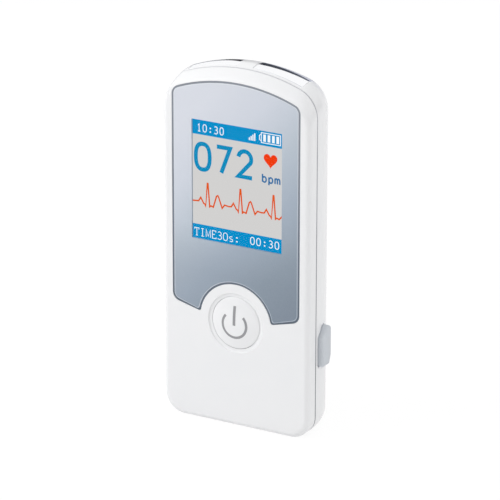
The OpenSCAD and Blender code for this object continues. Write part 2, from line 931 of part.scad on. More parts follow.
function flap_outline(by) =
    let (
        d0 = flap_front - by,
        d1 = flap_front + flap_d + by,
        z0 = flap_low - by,
        z1 = flap_low + flap_l + by
    )
    rounded([
        [d0, z0, 1 + by],
        [d1, z0, 1 + by],
        [d1, z1, 1.2 + by],
        [d0 + 3.2, z1, 1.2 + by],
        [d0, z1 - 3.8, 2 + by]
    ]);

// The cover's outline made solid between two distances from the middle plane
module flap_slab(x0, x1, by = 0) {
    translate([x0, front_y, 0]) rotate([90, 0, 90]) linear_extrude(x1 - x0) polygon(flap_outline(by));
}

// A box in front of the socket, "by" larger than its shell; the cover's plug and its hole
module socket_block(xs, by) {
    half_d = socket_t / 2 + by;
    half_h = socket_h / 2 + by;
    block(xs, [socket_depth - half_d, socket_depth + half_d], [socket_z - half_h, socket_z + half_h]);
}

// A rod from the inside of the case to its side
module side_rod(x0, x1, r) {
    translate([x0, front_y + anchor_depth, anchor_z]) rotate([0, 90, 0]) cylinder(r = r, h = x1 - x0);
}

module flap_hole() {
    flap_slab(flap_seat, half_w + 5, gap);
    socket_block([plate_x - 1, half_w], gap);
    side_rod(plate_x - 1, half_w, anchor_r + fit / 2);
}

module usb_cover() {
    outer = half_w + flap_proud;
    seat = flap_seat + gap;
    soft = 0.8;
    color("lightslategray") {
        // The outer face is softened by a second, smaller outline
        hull() {
            flap_slab(seat, outer - soft);
            flap_slab(outer - soft / 4, outer, -soft);
        }
        socket_block([plate_x + 0.4, seat + 0.2], -fit);
    }
}

// The peg that holds the cover's lower end in the case
module usb_cover_anchor() {
    color("lightslategray") {
        side_rod(plate_x, flap_seat, anchor_r);
        side_rod(plate_x - 1, plate_x, anchor_r + 0.5);
    }
}

// ---------- screws ----------

module case_screws() {
    color("silver") at_case_screws() {
        rod(0, 0, head_depth - screw_l, head_depth, screw_r);
        difference() {
            rod(0, 0, head_depth, head_depth + head_t, screw_head_r);
            cross_slot(screw_r + fit, head_depth + head_t, 1.5 * slot_t);
        }
    }
}

front_cover();
rear_cover();
display_window();
window_adhesive();
lcd_glass();
lcd_backlight();
lcd_pad();
lcd_ribbon();
main_board();
board_screws();
processor_chips();
radio_module();
quartz_crystal();
board_capacitors();
buzzer();
usb_socket();
power_button();
power_symbol();
switch_plunger();
switch_base();
electrode_top_left();
electrode_top_right();
electrode_base();
electrode_nuts();
electrode_contacts();
battery_left();
battery_right();
battery_springs();
battery_plates();
battery_door();
usb_cover();
usb_cover_anchor();
case_screws();
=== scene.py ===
# The looks of a handheld heart rhythm monitor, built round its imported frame. Lengths are in
# millimetres: x runs to the right, depth runs back from the display face, z runs up.
import json
import math

import bmesh
import bpy
from mathutils import Matrix, Vector


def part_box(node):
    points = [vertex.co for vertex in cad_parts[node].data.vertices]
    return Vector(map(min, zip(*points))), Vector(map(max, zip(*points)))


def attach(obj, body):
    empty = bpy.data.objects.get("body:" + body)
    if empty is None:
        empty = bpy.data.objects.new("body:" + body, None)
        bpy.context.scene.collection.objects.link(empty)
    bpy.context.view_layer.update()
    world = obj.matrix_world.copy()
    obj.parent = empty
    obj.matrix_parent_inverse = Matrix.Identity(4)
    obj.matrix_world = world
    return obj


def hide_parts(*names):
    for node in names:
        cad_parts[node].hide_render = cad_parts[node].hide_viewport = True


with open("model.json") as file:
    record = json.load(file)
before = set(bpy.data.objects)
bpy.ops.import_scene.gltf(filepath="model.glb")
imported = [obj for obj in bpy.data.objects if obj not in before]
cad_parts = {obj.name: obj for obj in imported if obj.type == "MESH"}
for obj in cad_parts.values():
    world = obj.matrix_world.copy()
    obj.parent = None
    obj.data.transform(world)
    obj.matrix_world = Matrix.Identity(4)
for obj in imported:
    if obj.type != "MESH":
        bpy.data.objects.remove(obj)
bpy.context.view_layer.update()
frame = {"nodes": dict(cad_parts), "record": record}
scene = bpy.context.scene
scene.view_settings.view_transform = "Standard"

MM = 0.001


def span(node):
    """Lowest and highest corner of a node, in millimetres."""
    low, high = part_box(node)
    return low / MM, high / MM


# ---------- sizes, from the frame where it shows them ----------

FRONT_Y = span("front_cover")[0].y
HALF_W = span("front_cover")[1].x
CASE_H = span("rear_cover")[1].z
CASE_D = span("rear_cover")[1].y - FRONT_Y
WALL = 1.8
FRONT_WALL = 2.4
EDGE_R = 1.8
CORNER_R = 6.8
SHOULDER_R = 9.9
TOP_R = 60
TOP_DROP = 4.4
CREST_DEPTH = 9
BACK_CURVE = 8.5
FOOT_R = 5
JOINT_DEPTH = 4.9
JOINT_GAP = 0.26
JOINT_CHAMFER = 0.12

WINDOW_HALF = span("display_window")[1].x
WINDOW_TOP = span("display_window")[1].z
WINDOW_T = 0.8
WINDOW_R = 60
WINDOW_LOW = 40.6
WINDOW_FALL = 2.65
WINDOW_CORNER_R = 3
NOTCH_R = 13.4
LIP_R = 0.8
RECESS_DEPTH = 1.0

PICTURE_X = (-16.3, 17.05)
PICTURE_HIGH = WINDOW_TOP - 14.2
PICTURE_LOW = PICTURE_HIGH - 40.4
PICTURE_DEPTH = 0.5

BUTTON_Z = 36
BUTTON_R = 8.95
BUTTON_GAP = 0.05
CROWN_TOP = 0.91
CROWN_EDGE = 0.42
CROWN_POWER = 2.2
DISH_R = 10.15
DISH_DEPTH = 0.5
SYMBOL_R = 4.4
SYMBOL_STROKE = 0.85
SYMBOL_OPENING = 47
SYMBOL_DROP = 0.35

GAP = 0.3
FIT = 0.1
ELECTRODE_X = (3, 20.8)
ELECTRODE_D = (5.9, 14.5)
ELECTRODE_T = 0.8
STUD_X, STUD_DEPTH, STUD_R = 11.9, 10.2, 1.0
FOOT_HALF, FOOT_D, FOOT_STUD_DEPTH = 15, (6.6, 13.6), 10.1

DOOR_HALF = span("battery_door")[1].x
DOOR_LOW, DOOR_HIGH, DOOR_R, DOOR_T = 31, 89, 2.5, 1.5
HOOKS = (-9, 9)
GRIP_X = 3.4
SCREW_X, SCREW_LOW, SCREW_HIGH = 15.6, 12, 110.6
POST_X, POST_LOW, POST_HIGH = 21.7, 50, 96
CELL_X, CELL_DEPTH, CELL_R, CELL_L = 5.35, 14.0, 5.2, 43.3


# ---------- curves ----------

def steps_between(first, last, count):
    return [first + (last - first) * i / count for i in range(count + 1)]


def arc(cx, cz, r, first, last, steps):
    """Points of an arc, its angles in degrees."""
    turns = [math.radians(a) for a in steps_between(first, last, steps)]
    return [(cx + r * math.cos(a), cz + r * math.sin(a)) for a in turns]


def between(a, b, steps):
    """Points that divide a straight line, without its ends."""
    shares = [i / steps for i in range(1, steps)]
    return [tuple(p + (q - p) * t for p, q in zip(a, b)) for t in shares]


def round_corner(before, corner, after, r, steps):
    """An arc of radius r in place of a corner."""
    if r <= 0:
        return [tuple(corner)]
    corner = Vector(corner)
    u = (Vector(before) - corner).normalized()
    v = (Vector(after) - corner).normalized()
    half = u.angle(v) / 2
    centre = corner + (u + v).normalized() * r / math.sin(half)
    start = corner + u * r / math.tan(half) - centre
    end = corner + v * r / math.tan(half) - centre
    first = math.atan2(start.y, start.x)
    turn = math.atan2(start.x * end.y - start.y * end.x, start.dot(end))
    return arc(centre.x, centre.y, r, math.degrees(first), math.degrees(first + turn), steps)


def rounded(corners, steps=8):
    """An outline through corners given as (x, z, radius)."""
    flat = [c[:2] for c in corners]
    count = len(corners)
    outline = []
    for i, corner in enumerate(corners):
        outline += round_corner(flat[i - 1], flat[i], flat[(i + 1) % count], corner[2], steps)
    return outline


def rectangle(x0, x1, z0, z1, r, steps=8):
    """The outline function of a rounded rectangle, drawn "by" outside its edge."""
    def outline(by=0):
        sides = ((x1, z0, 1, -1), (x1, z1, 1, 1), (x0, z1, -1, 1), (x0, z0, -1, -1))
        return rounded([(x + by * u, z + by * v, r + by) for x, z, u, v in sides], steps)
    return outline


def disc(x, z, r, steps=64):
    """The outline function of a circle."""
    return lambda by=0: arc(x, z, r + by, 0, 360 - 360 / steps, steps - 1)


def mirrored(points):
    return [(-x, z) for x, z in reversed(points)]


def fall(t):
    """How far a quarter ellipse falls, t being 0 at its crown and 1 at its end."""
    return 1 - math.sqrt(1 - min(t * t, 1))


def edge_in(depth):
    return EDGE_R - math.sqrt(EDGE_R ** 2 - (EDGE_R - depth) ** 2)


def side_in(depth, deep):
    if depth < EDGE_R:
        return edge_in(depth)
    if depth < JOINT_DEPTH:
        return 0
    return BACK_CURVE * fall((depth - JOINT_DEPTH) / (deep - JOINT_DEPTH))


def top_in(depth, deep):
    if depth < CREST_DEPTH:
        return TOP_DROP * (1 - (1 - (1 - depth / CREST_DEPTH) ** 1.5) ** (1 / 1.5))
    return BACK_CURVE * fall((depth - CREST_DEPTH) / (deep - CREST_DEPTH))


def foot_in(depth, deep):
    if depth < EDGE_R:
        return edge_in(depth)
    if depth < deep - FOOT_R:
        return 0
    return FOOT_R * fall((depth - deep + FOOT_R) / FOOT_R)


def case_outline(w, top, low, r_low, r_side, r_top, detail=1.0):
    """The case's arched outline with half width w."""
    def steps(count):
        return max(4, round(count * detail))
    arch_z = top - r_top
    dx = w - r_side
    side_z = arch_z + math.sqrt((r_top - r_side) ** 2 - dx ** 2)
    turn = math.degrees(math.atan2(side_z - arch_z, dx))
    corner = arc(w - r_low, low + r_low, r_low, -90, 0, steps(14))
    shoulder = arc(dx, side_z, r_side, 0, turn, steps(24))
    crest = arc(0, arch_z, r_top, turn, 90, steps(40))[1:]
    base = [(0, low)] + between((0, low), corner[0], steps(10))
    right = base + corner + between(corner[-1], shoulder[0], steps(30)) + shoulder + crest
    return right + mirrored(right[1:-1])


def case_ring(depth, skin=0, deep=CASE_D, detail=1.0):
    """The case's outline at a depth, "skin" inside its surface."""
    outline = case_outline(
        HALF_W - side_in(depth, deep) - skin,
        CASE_H - top_in(depth, deep) - skin,
        foot_in(depth, deep) + skin,
        CORNER_R - skin, SHOULDER_R - skin, TOP_R - skin, detail)
    return [(x, depth, z) for x, z in outline]


def back_depths(first, deep, steps):
    """Depths that follow the rounded back."""
    return [first + (deep - first) * math.sin(math.pi / 2 * i / steps) for i in range(steps + 1)]


def crest_z(x, depth):
    """Height of the case's top over a place."""
    top = CASE_H - top_in(depth, CASE_D)
    arch_z = top - TOP_R
    dx = HALF_W - side_in(depth, CASE_D) - SHOULDER_R
    side_z = arch_z + math.sqrt((TOP_R - SHOULDER_R) ** 2 - dx ** 2)
    tangent_x = dx * TOP_R / (TOP_R - SHOULDER_R)
    if abs(x) < tangent_x:
        return arch_z + math.sqrt(TOP_R ** 2 - x ** 2)
    return side_z + math.sqrt(SHOULDER_R ** 2 - (abs(x) - dx) ** 2)


def window_outline(by=0):
    """The window's outline, drawn "by" outside its edge."""
    w = WINDOW_HALF + by
    r = WINDOW_R + by
    arch_z = WINDOW_TOP - WINDOW_R
    arch_x = WINDOW_HALF - WINDOW_CORNER_R
    inner_r = NOTCH_R - by
    lip_z = WINDOW_LOW - WINDOW_FALL - by
    lip_x = math.sqrt(inner_r ** 2 - (lip_z - BUTTON_Z) ** 2)
    lip_a = math.degrees(math.atan2(lip_z - BUTTON_Z, lip_x))
    clear_a = 2.5 * math.degrees(math.asin(LIP_R / inner_r))
    crown = 22
    notch = arc(0, BUTTON_Z, inner_r, 90, lip_a + clear_a, crown)
    arch = [(arch_x * i / crown, arch_z + math.sqrt(r * r - (arch_x * i / crown) ** 2), 0)
            for i in range(crown, -1, -1)]
    right = [(x, z, 0) for x, z in notch]
    right += [(lip_x, lip_z, LIP_R)]
    right += [(w, WINDOW_LOW - by, WINDOW_CORNER_R + by)]
    right += [(w, arch_z + math.sqrt(r * r - w * w), WINDOW_CORNER_R + by)]
    right += arch
    left = [(-x, z, corner) for x, z, corner in reversed(right[1:-1])]
    return rounded(right + left, 10)


# ---------- solids ----------

def facing(outline, depth):
    """An (x, z) outline at a depth."""
    return [(x, depth, z) for x, z in outline]


def sideways(outline, x):
    """A (depth, z) outline at a distance from the middle."""
    return [(x, depth, z) for depth, z in outline]


def upright(outline, z):
    """An (x, depth) outline at a height."""
    return [(x, depth, z) for x, depth in outline]


def solid(name, points, faces):
    """A closed mesh from points in (x, depth, z), its faces outwards."""
    mesh = bpy.data.meshes.new(name)
    mesh.from_pydata([(x * MM, (FRONT_Y + d) * MM, z * MM) for x, d, z in points], [], faces)
    work = bmesh.new()
    work.from_mesh(mesh)
    bmesh.ops.remove_doubles(work, verts=work.verts, dist=1e-7)
    bmesh.ops.recalc_face_normals(work, faces=work.faces)
    work.to_mesh(mesh)
    work.free()
    piece = bpy.data.objects.new(name, mesh)
    scene.collection.objects.link(piece)
    return piece


def loft(name, rings):
    """A closed solid through rings with equal numbers of points."""
    n = len(rings[0])
    last = (len(rings) - 1) * n
    faces = [tuple(range(n)), tuple(range(last, last + n))]
    for a in range(0, last, n):
        faces += [(a + i, a + (i + 1) % n, a + n + (i + 1) % n, a + n + i) for i in range(n)]
    return solid(name, [p for ring in rings for p in ring], faces)


def case_solid(name, depths, skin=0, deep=CASE_D, detail=1.0):
    return loft(name, [case_ring(d, skin, deep, detail) for d in depths])


def quarter(r, steps=6):
    """(inset, rise) pairs along a quarter round, from its face to its wall."""
    turns = [math.pi / 2 * i / steps for i in range(steps + 1)]
    return [(r * (1 - math.sin(a)), r * (1 - math.cos(a))) for a in turns]


def plate(name, outline, first, last, first_rim=0, last_rim=0, lay=facing):
    """A slab between two levels, its two edges rounded."""
    sign = 1 if last > first else -1
    near, far = quarter(first_rim), reversed(quarter(last_rim))
    rings = [lay(outline(-inset), first + sign * rise) for inset, rise in near]
    rings += [lay(outline(-inset), last - sign * rise) for inset, rise in far]
    if first_rim == 0 and last_rim == 0:
        rings = [lay(outline(), first), lay(outline(), last)]
    return loft(name, rings)


def pocket(name, outline, mouth, floor, rim=0, lay=facing):
    """A cutter from beyond a mouth to a floor, flared so that the mouth's edge is round."""
    sign = 1 if floor > mouth else -1
    flare = quarter(rim) if rim else []
    rings = [lay(outline(rim), mouth - sign)]
    rings += [lay(outline(inset), mouth + sign * rise) for inset, rise in flare]
    rings += [lay(outline(), floor)]
    return loft(name, rings)


def block(name, xs, ds, zs):
    return plate(name, rectangle(xs[0], xs[1], zs[0], zs[1], 0), ds[0], ds[1])


def turned(name, profile, x=0, depth=0, z=0, axis="depth", steps=96):
    """A turned solid from (radius, level) pairs that begin and end on the axis."""
    rings = []
    for r, level in profile:
        circle = [(r * math.cos(a), r * math.sin(a))
                  for a in (2 * math.pi * i / steps for i in range(steps))]
        if axis == "depth":
            rings.append([(x + u, depth + level, z + v) for u, v in circle])
        elif axis == "z":
            rings.append([(x + u, depth + v, z + level) for u, v in circle])
        else:
            rings.append([(x + level, depth + u, z + v) for u, v in circle])
    return loft(name, rings)


def rod(name, x, z, first, last, r, steps=48):
    return turned(name, [(r, first), (r, last)], x=x, z=z, steps=steps)


def discard(piece):
    bpy.data.objects.remove(piece)


def settle(piece):
    """Turns a piece and its modifiers into a plain mesh."""
    graph = bpy.context.evaluated_depsgraph_get()
    mesh = bpy.data.meshes.new_from_object(piece.evaluated_get(graph), depsgraph=graph)
    piece.modifiers.clear()
    piece.data = mesh
    return piece


def carve(piece, *tools, how="DIFFERENCE"):
    """Cuts the tools out of a piece, or joins or trims it by them."""
    for tool in tools:
        cut = piece.modifiers.new(tool.name, "BOOLEAN")
        cut.operation = how
        cut.solver = "MANIFOLD"
        cut.object = tool
    settle(piece)
    for tool in tools:
        discard(tool)
    return piece


def add(piece, *others):
    return carve(piece, *others, how="UNION")


def polish(piece, angle=35):
    """Smooth shading between the edges that are sharper than an angle."""
    piece.data.shade_smooth()
    piece.data.set_sharp_from_angle(angle=math.radians(angle))
    weighted = piece.modifiers.new("weighted", "WEIGHTED_NORMAL")
    weighted.keep_sharp = True
    weighted.weight = 80
    return settle(piece)


def mirror_x(piece, name):
    """A mirrored copy of a piece."""
    mesh = piece.data.copy()
    mesh.transform(Matrix.Scale(-1, 4, (1, 0, 0)))
    mesh.flip_normals()
    copy = bpy.data.objects.new(name, mesh)
    scene.collection.objects.link(copy)
    return copy


def paint(piece, finish, where=None):
    """Gives a finish to the faces whose middle and normal pass a test, or to all of them."""
    piece.data.materials.append(finish)
    index = len(piece.data.materials) - 1
    for face in piece.data.polygons:
        middle = face.center / MM
        if where is None or where(middle.x, middle.y - FRONT_Y, middle.z, face.normal):
            face.material_index = index
    return piece


def hand_over(piece, body, slot, *replaced):
    """Names the body that a piece rides on and the nodes it stands for; its material slot is not
    used.
    """
    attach(piece, body)
    if replaced:
        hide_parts(*replaced)


# ---------- finishes ----------

def operator(operation, reflected=False):
    """A method of Flow that adds one Math node."""
    def apply(self, other):
        return self.math(operation, *((other, self) if reflected else (self, other)))
    return apply


class Flow:
    """A number, colour or vector on its way through a finish's nodes."""

    def __init__(self, maker, socket):
        self.maker = maker
        self.socket = socket

    def math(self, operation, first, second):
        return self.maker.node("ShaderNodeMath", {"operation": operation}, {0: first, 1: second})

    __add__, __radd__ = operator("ADD"), operator("ADD", True)
    __sub__, __rsub__ = operator("SUBTRACT"), operator("SUBTRACT", True)
    __mul__, __rmul__ = operator("MULTIPLY"), operator("MULTIPLY", True)
    __truediv__, __pow__ = operator("DIVIDE"), operator("POWER")
    over, at_most, at_least = operator("GREATER_THAN"), operator("MINIMUM"), operator("MAXIMUM")
    folded = operator("PINGPONG")  # runs up and down between 0 and a reach

    def clamped(self):
        return self.at_least(0).at_most(1)


class Maker:
    """Adds nodes to one node tree."""

    def __init__(self, tree):
        self.tree = tree
        tree.nodes.clear()

    def node(self, kind, settings=None, sockets=None, out=0):
        made = self.tree.nodes.new(kind)
        for name, value in (settings or {}).items():
            if name == "stops":
                self.set_stops(made.color_ramp, value)
            else:
                setattr(made, name, value)
        for name, value in (sockets or {}).items():
            if isinstance(value, Flow):
                self.tree.links.new(value.socket, made.inputs[name])
            else:
                made.inputs[name].default_value = value
        return Flow(self, made.outputs[out]) if made.outputs else made

    @staticmethod
    def set_stops(ramp, stops):
        while len(ramp.elements) > 1:
            ramp.elements.remove(ramp.elements[-1])
        for i, (place, colour) in enumerate(stops):
            element = ramp.elements[0] if i == 0 else ramp.elements.new(place)
            element.position = place
            element.color = colour

    def mix(self, share, first, second):
        """A colour between two others."""
        return self.node("ShaderNodeMix", {"data_type": "RGBA"}, {0: share, 6: first, 7: second}, 2)

    def ramp(self, share, *stops):
        return self.node("ShaderNodeValToRGB", {"stops": stops}, {"Fac": share})

    def place(self):
        """Where a point lies on the object, in metres."""
        return self.node("ShaderNodeTexCoord", out="Object")

    def sides(self):
        """The same in millimetres, as x, y and z."""
        split = [self.node("ShaderNodeSeparateXYZ", None, {0: self.place()}, i) for i in range(3)]
        return [s / MM for s in split]

    def noise(self, scale, detail=2, roughness=0.5, vector=None):
        return self.node("ShaderNodeTexNoise", None, {
            "Vector": vector or self.place(), "Scale": scale, "Detail": detail,
            "Roughness": roughness})

    def bump(self, height, distance, strength=1.0):
        return self.node("ShaderNodeBump", None, {
            "Height": height, "Distance": distance, "Strength": strength})


class Finish(Maker):
    """A named material with one principled shader."""

    def __init__(self, name):
        self.material = bpy.data.materials.new(name)
        self.material.use_nodes = True
        super().__init__(self.material.node_tree)

    def surface(self, **sockets):
        """Sets the shader's sockets: base_color stands for Base Color, and so on."""
        named = {key.replace("_", " ").title().replace("Ior", "IOR"): value
                 for key, value in sockets.items()}
        return self.close(self.node("ShaderNodeBsdfPrincipled", None, named))

    def close(self, shader):
        self.node("ShaderNodeOutputMaterial", None, {"Surface": shader})
        return self.material


def tone(red, green, blue):
    """A colour from its 0 to 255 screen values."""
    def linear(value):
        share = value / 255
        return share / 12.92 if share <= 0.04045 else ((share + 0.055) / 1.055) ** 2.4
    return (linear(red), linear(green), linear(blue), 1)


def grained(name, first, last, grain, roughness, spread, relief=0, **more):
    """A finish between two tones by one fine grain, which also roughens it."""
    finish = Finish(name)
    noise = finish.noise(*grain)
    if relief:
        more["normal"] = finish.bump(noise, relief)
    return finish.surface(base_color=finish.mix(noise, tone(*first), tone(*last)),
                          roughness=roughness + spread * noise, **more)


def case_plastic():
    """Glossy white moulded plastic, with the faint waves that moulding leaves."""
    finish = Finish("case_plastic")
    wave = finish.noise(60, 2)
    grain = finish.noise(2600, 3, 0.6)
    return finish.surface(
        base_color=finish.mix(wave, tone(244, 245, 247), tone(248, 248, 249)),
        roughness=0.2 + 0.1 * grain,
        specular_ior_level=0.45,
        normal=finish.bump(grain + 6 * wave, 0.000004))


def joint_painted_shade():
    """Plastic in the groove between the covers, with painted shade, darker towards the foot."""
    finish = Finish("joint_painted_shade")
    _, _, z = finish.sides()
    grain = finish.noise(2600, 2)
    # Painted shade: grey in the groove, darkest near the foot and nearly white at the top.
    height = (z / 120 + 0.1 * grain).at_most(1)
    return finish.surface(
        base_color=finish.ramp(height, (0, tone(146, 149, 155)), (0.85, tone(182, 184, 190)),
                               (0.97, tone(226, 227, 230))),
        roughness=0.5 + 0.1 * grain)


def window_print_and_painted_reflection():
    """Silver-blue film under the clear window, with a painted reflection that darkens it towards
    its lower right and its foot.
    """
    finish = Finish("window_print_and_painted_reflection")
    x, _, z = finish.sides()
    # Painted reflection: a diagonal ramp from light at the upper left to dark at the lower right.
    level = (z - 0.95 * x - 21) / 105
    grain = finish.noise(5200, 2, 0.7)
    upper = finish.ramp(
        level,
        (0.0, tone(112, 128, 147)), (0.19, tone(128, 145, 162)), (0.38, tone(154, 169, 187)),
        (0.57, tone(181, 193, 206)), (0.76, tone(207, 213, 225)), (0.95, tone(217, 221, 231)))
    # More painted reflection: darker blue towards the foot.
    lower = ((68 - z) / 16).clamped()
    film = finish.mix(lower * 0.2, upper, tone(24, 66, 92))
    return finish.surface(
        base_color=finish.mix(grain * 0.12, film, tone(250, 252, 255)),
        metallic=0.15,
        roughness=0.3 + 0.1 * grain,
        coat_weight=1.0,
        coat_roughness=0.04)


def window_edge_print_and_shade():
    """Dark print and painted shade at the window's stepped edge, darker towards the bottom."""
    finish = Finish("window_edge_print_and_shade")
    _, _, z = finish.sides()
    grain = finish.noise(3000, 2)
    # Painted shade: darker towards the bottom, lighter towards the top.
    height = (z - 34) / 84 + 0.05 * grain
    return finish.surface(
        base_color=finish.ramp(height, (0, tone(84, 98, 112)), (0.4, tone(112, 122, 138)),
                               (0.95, tone(144, 150, 160))),
        roughness=0.25 + 0.1 * grain)


def window_bevel_painted_highlight():
    """The window's ground edge, with a painted highlight that is lighter towards the upper left."""
    finish = Finish("window_bevel_painted_highlight")
    x, _, z = finish.sides()
    # Painted highlight: a diagonal ramp, lighter towards the upper left.
    level = (z - 0.9 * x - 20) / 105
    grain = finish.noise(3000, 2)
    return finish.surface(
        base_color=finish.ramp(level, (0.0, tone(176, 188, 202)), (0.9, tone(230, 234, 241))),
        roughness=0.12 + 0.08 * grain)


def clear_pane():
    """The clear part of the window: nothing but its reflection shows."""
    finish = Finish("clear_pane")
    shine = finish.node("ShaderNodeFresnel", None, {"IOR": 1.47})
    smear = finish.noise(90, 3)
    return finish.surface(
        base_color=tone(250, 251, 252),
        metallic=1.0,
        roughness=0.02 + 0.03 * smear,
        alpha=shine * 0.06)


def lit(name, colour, shade=0.9):
    """A lit part of the picture, with the display's fine dots."""
    finish = Finish(name)
    x, _, z = finish.sides()
    pitch, crisp = 0.18, 20
    cell = (z.folded(pitch / 2).at_most(x.folded(pitch / 2)) * (crisp / pitch)).at_most(1)
    dark = tuple(c * shade for c in colour[:3]) + (1,)
    return finish.surface(
        base_color=tone(6, 7, 8),
        roughness=0.6,
        specular_ior_level=0.0,
        emission_color=finish.mix(cell, dark, colour),
        emission_strength=1.0)


def electrode_steel():
    """Polished stainless steel with hairline marks along x."""
    finish = Finish("electrode_steel")
    stretched = finish.node("ShaderNodeMapping", None, {
        "Vector": finish.place(), "Scale": (40, 2600, 2600)})
    hair = finish.noise(1, 3, 0.6, stretched)
    return finish.surface(
        base_color=finish.mix(hair, tone(248, 249, 251), tone(252, 252, 254)),
        metallic=1.0,
        roughness=0.05 + 0.06 * hair,
        normal=finish.bump(hair, 0.000001))


def grey_rubber():
    """Satin grey rubber with a fine spark-eroded grain."""
    finish = Finish("grey_rubber")
    grain = finish.noise(4200, 4, 0.65)
    cloud = finish.noise(160, 2)
    return finish.surface(
        base_color=finish.mix(cloud, tone(208, 213, 219), tone(215, 220, 226)),
        roughness=0.5 + 0.15 * grain,
        specular_ior_level=0.35,
        sheen_weight=0.08,
        normal=finish.bump(grain, 0.00002))


def tape_foam():
    """Black foam with fine open cells."""
    finish = Finish("tape_foam")
    cells = finish.node("ShaderNodeTexVoronoi", None, {"Vector": finish.place(), "Scale": 5200})
    return finish.surface(
        base_color=finish.mix(cells, tone(26, 26, 28), tone(48, 48, 50)),
        roughness=0.85,
        normal=finish.bump(cells, 0.00005))


def ribbon_film():
    """Amber film with copper tracks along its length."""
    finish = Finish("ribbon_film")
    x, _, _ = finish.sides()
    tracks = x.folded(0.25).over(0.13)
    return finish.surface(
        base_color=finish.mix(tracks, tone(176, 106, 34), tone(214, 148, 70)),
        metallic=tracks * 0.4,
        roughness=0.3)


def board_mask():
    """Green solder mask over copper tracks and areas."""
    finish = Finish("board_mask")
    x, _, z = finish.sides()
    blocks = finish.node("ShaderNodeTexVoronoi", {"distance": "MANHATTAN"}, {
        "Vector": finish.place(), "Scale": 160}, out="Color")
    copper = finish.node("ShaderNodeSeparateColor", None, {0: blocks}).over(0.45)
    tracks = (x + z).folded(0.6).over(0.34)
    raised = (copper * tracks).at_most(1)
    return finish.surface(
        base_color=finish.mix(raised, tone(22, 92, 58), tone(38, 124, 78)),
        roughness=0.3,
        coat_weight=0.4,
        normal=finish.bump(raised, 0.00003))


def cell_sleeve(name, base, top):
    """A printed sleeve: a dark blue-grey body and a light band at the contact's end."""
    finish = Finish(name)
    _, _, z = finish.sides()
    share = (z - base) / (top - base)
    grain = finish.noise(700, 2)
    body = finish.ramp(
        share,
        (0.0, tone(190, 192, 195)), (0.02, tone(44, 58, 76)), (0.69, tone(58, 74, 94)),
        (0.7, tone(232, 232, 230)), (0.72, tone(176, 182, 190)), (0.975, tone(186, 192, 199)),
        (0.98, tone(190, 192, 195)))
    return finish.surface(
        base_color=body,
        metallic=0.55,
        roughness=0.28 + 0.1 * grain,
        coat_weight=0.3)


# ---------- camera ----------

def aim_camera():
    """The photograph's viewpoint: angles in degrees, lengths in millimetres."""
    azimuth, elevation, roll = math.radians(29.92), math.radians(19.57), math.radians(0.08)
    distance = 1100
    target = Vector((5.45, -10.5, 62.29))
    data = bpy.data.cameras.new("camera")
    data.sensor_fit = "HORIZONTAL"
    data.sensor_width = 36
    data.lens = 246.18
    data.clip_start = 0.01
    camera = bpy.data.objects.new("camera", data)
    scene.collection.objects.link(camera)
    back = Vector((math.sin(azimuth) * math.cos(elevation),
                   -math.cos(azimuth) * math.cos(elevation), math.sin(elevation)))
    level = Vector((math.cos(azimuth), math.sin(azimuth), 0))
    rise = back.cross(level)
    right = level * math.cos(roll) + rise * math.sin(roll)
    up = rise * math.cos(roll) - level * math.sin(roll)
    turn = Matrix((right, up, back)).transposed().to_4x4()
    camera.matrix_world = Matrix.Translation((target + back * distance) * MM) @ turn
    scene.camera = camera


# ---------- the studio ----------

WHITE = (1, 1, 1, 1)


def seen_share(maker):
    """1 for what the camera sees, directly, in gloss or through glass, and 0 for other light."""
    rays = [maker.node("ShaderNodeLightPath", out=kind)
            for kind in ("Is Camera Ray", "Is Glossy Ray", "Is Transmission Ray")]
    return rays[0].at_least(rays[1]).at_least(rays[2])


def light_world(strength):
    """Even light from all round, which shows as white."""
    world = bpy.data.worlds.new("studio")
    scene.world = world
    world.use_nodes = True
    maker = Maker(world.node_tree)
    shown = strength + (1 - strength) * seen_share(maker)
    sky = maker.node("ShaderNodeBackground", None, {"Color": WHITE, "Strength": shown})
    maker.node("ShaderNodeOutputWorld", None, {"Surface": sky})


def lamp(name, place, size, power):
    """A soft round lamp, in metres and watts, that points at the middle of the object."""
    middle = Vector((0, 0, 0.07))
    data = bpy.data.lights.new(name, "AREA")
    data.shape = "DISK"
    data.size = size
    data.energy = power
    light = bpy.data.objects.new(name, data)
    scene.collection.objects.link(light)
    light.location = place
    light.rotation_euler = (middle - Vector(place)).to_track_quat("-Z", "Y").to_euler()
    light.visible_glossy = False


def sheet(name, points, faces):
    """A flat piece of the studio, in metres, with a finish of its own."""
    mesh = bpy.data.meshes.new(name)
    mesh.from_pydata(points, [], faces)
    card = bpy.data.objects.new(name, mesh)
    scene.collection.objects.link(card)
    finish = Finish(name + "_finish")
    mesh.materials.append(finish.material)
    return card, finish


def square(half, height):
    """Corners and face of a level square."""
    corners = ((-half, -half), (half, -half), (half, half), (-half, half))
    return [(x, y, height) for x, y in corners], [(0, 1, 2, 3)]


def lay_floor(half, paper, glow, shown_part):
    """A pale floor that stays nearly white for the camera and keeps a soft shadow."""
    _, finish = sheet("floor", *square(half, 0))
    matt = finish.node("ShaderNodeBsdfDiffuse", None, {"Color": (paper, paper, paper, 1)})
    lit_white = finish.node("ShaderNodeEmission", None, {"Color": WHITE, "Strength": glow})
    share = seen_share(finish) * shown_part
    finish.close(finish.node("ShaderNodeMixShader", None, {0: share, 1: matt, 2: lit_white}))


def gloss_card(name, points, faces, colour_of):
    """A card that shows in polished metal and gloss alone, its colour from a function."""
    card, finish = sheet(name, points, faces)
    finish.close(finish.node("ShaderNodeEmission", None, {"Color": colour_of(finish)}))
    for rays in ("camera", "diffuse", "transmission", "shadow"):
        setattr(card, "visible_" + rays, False)


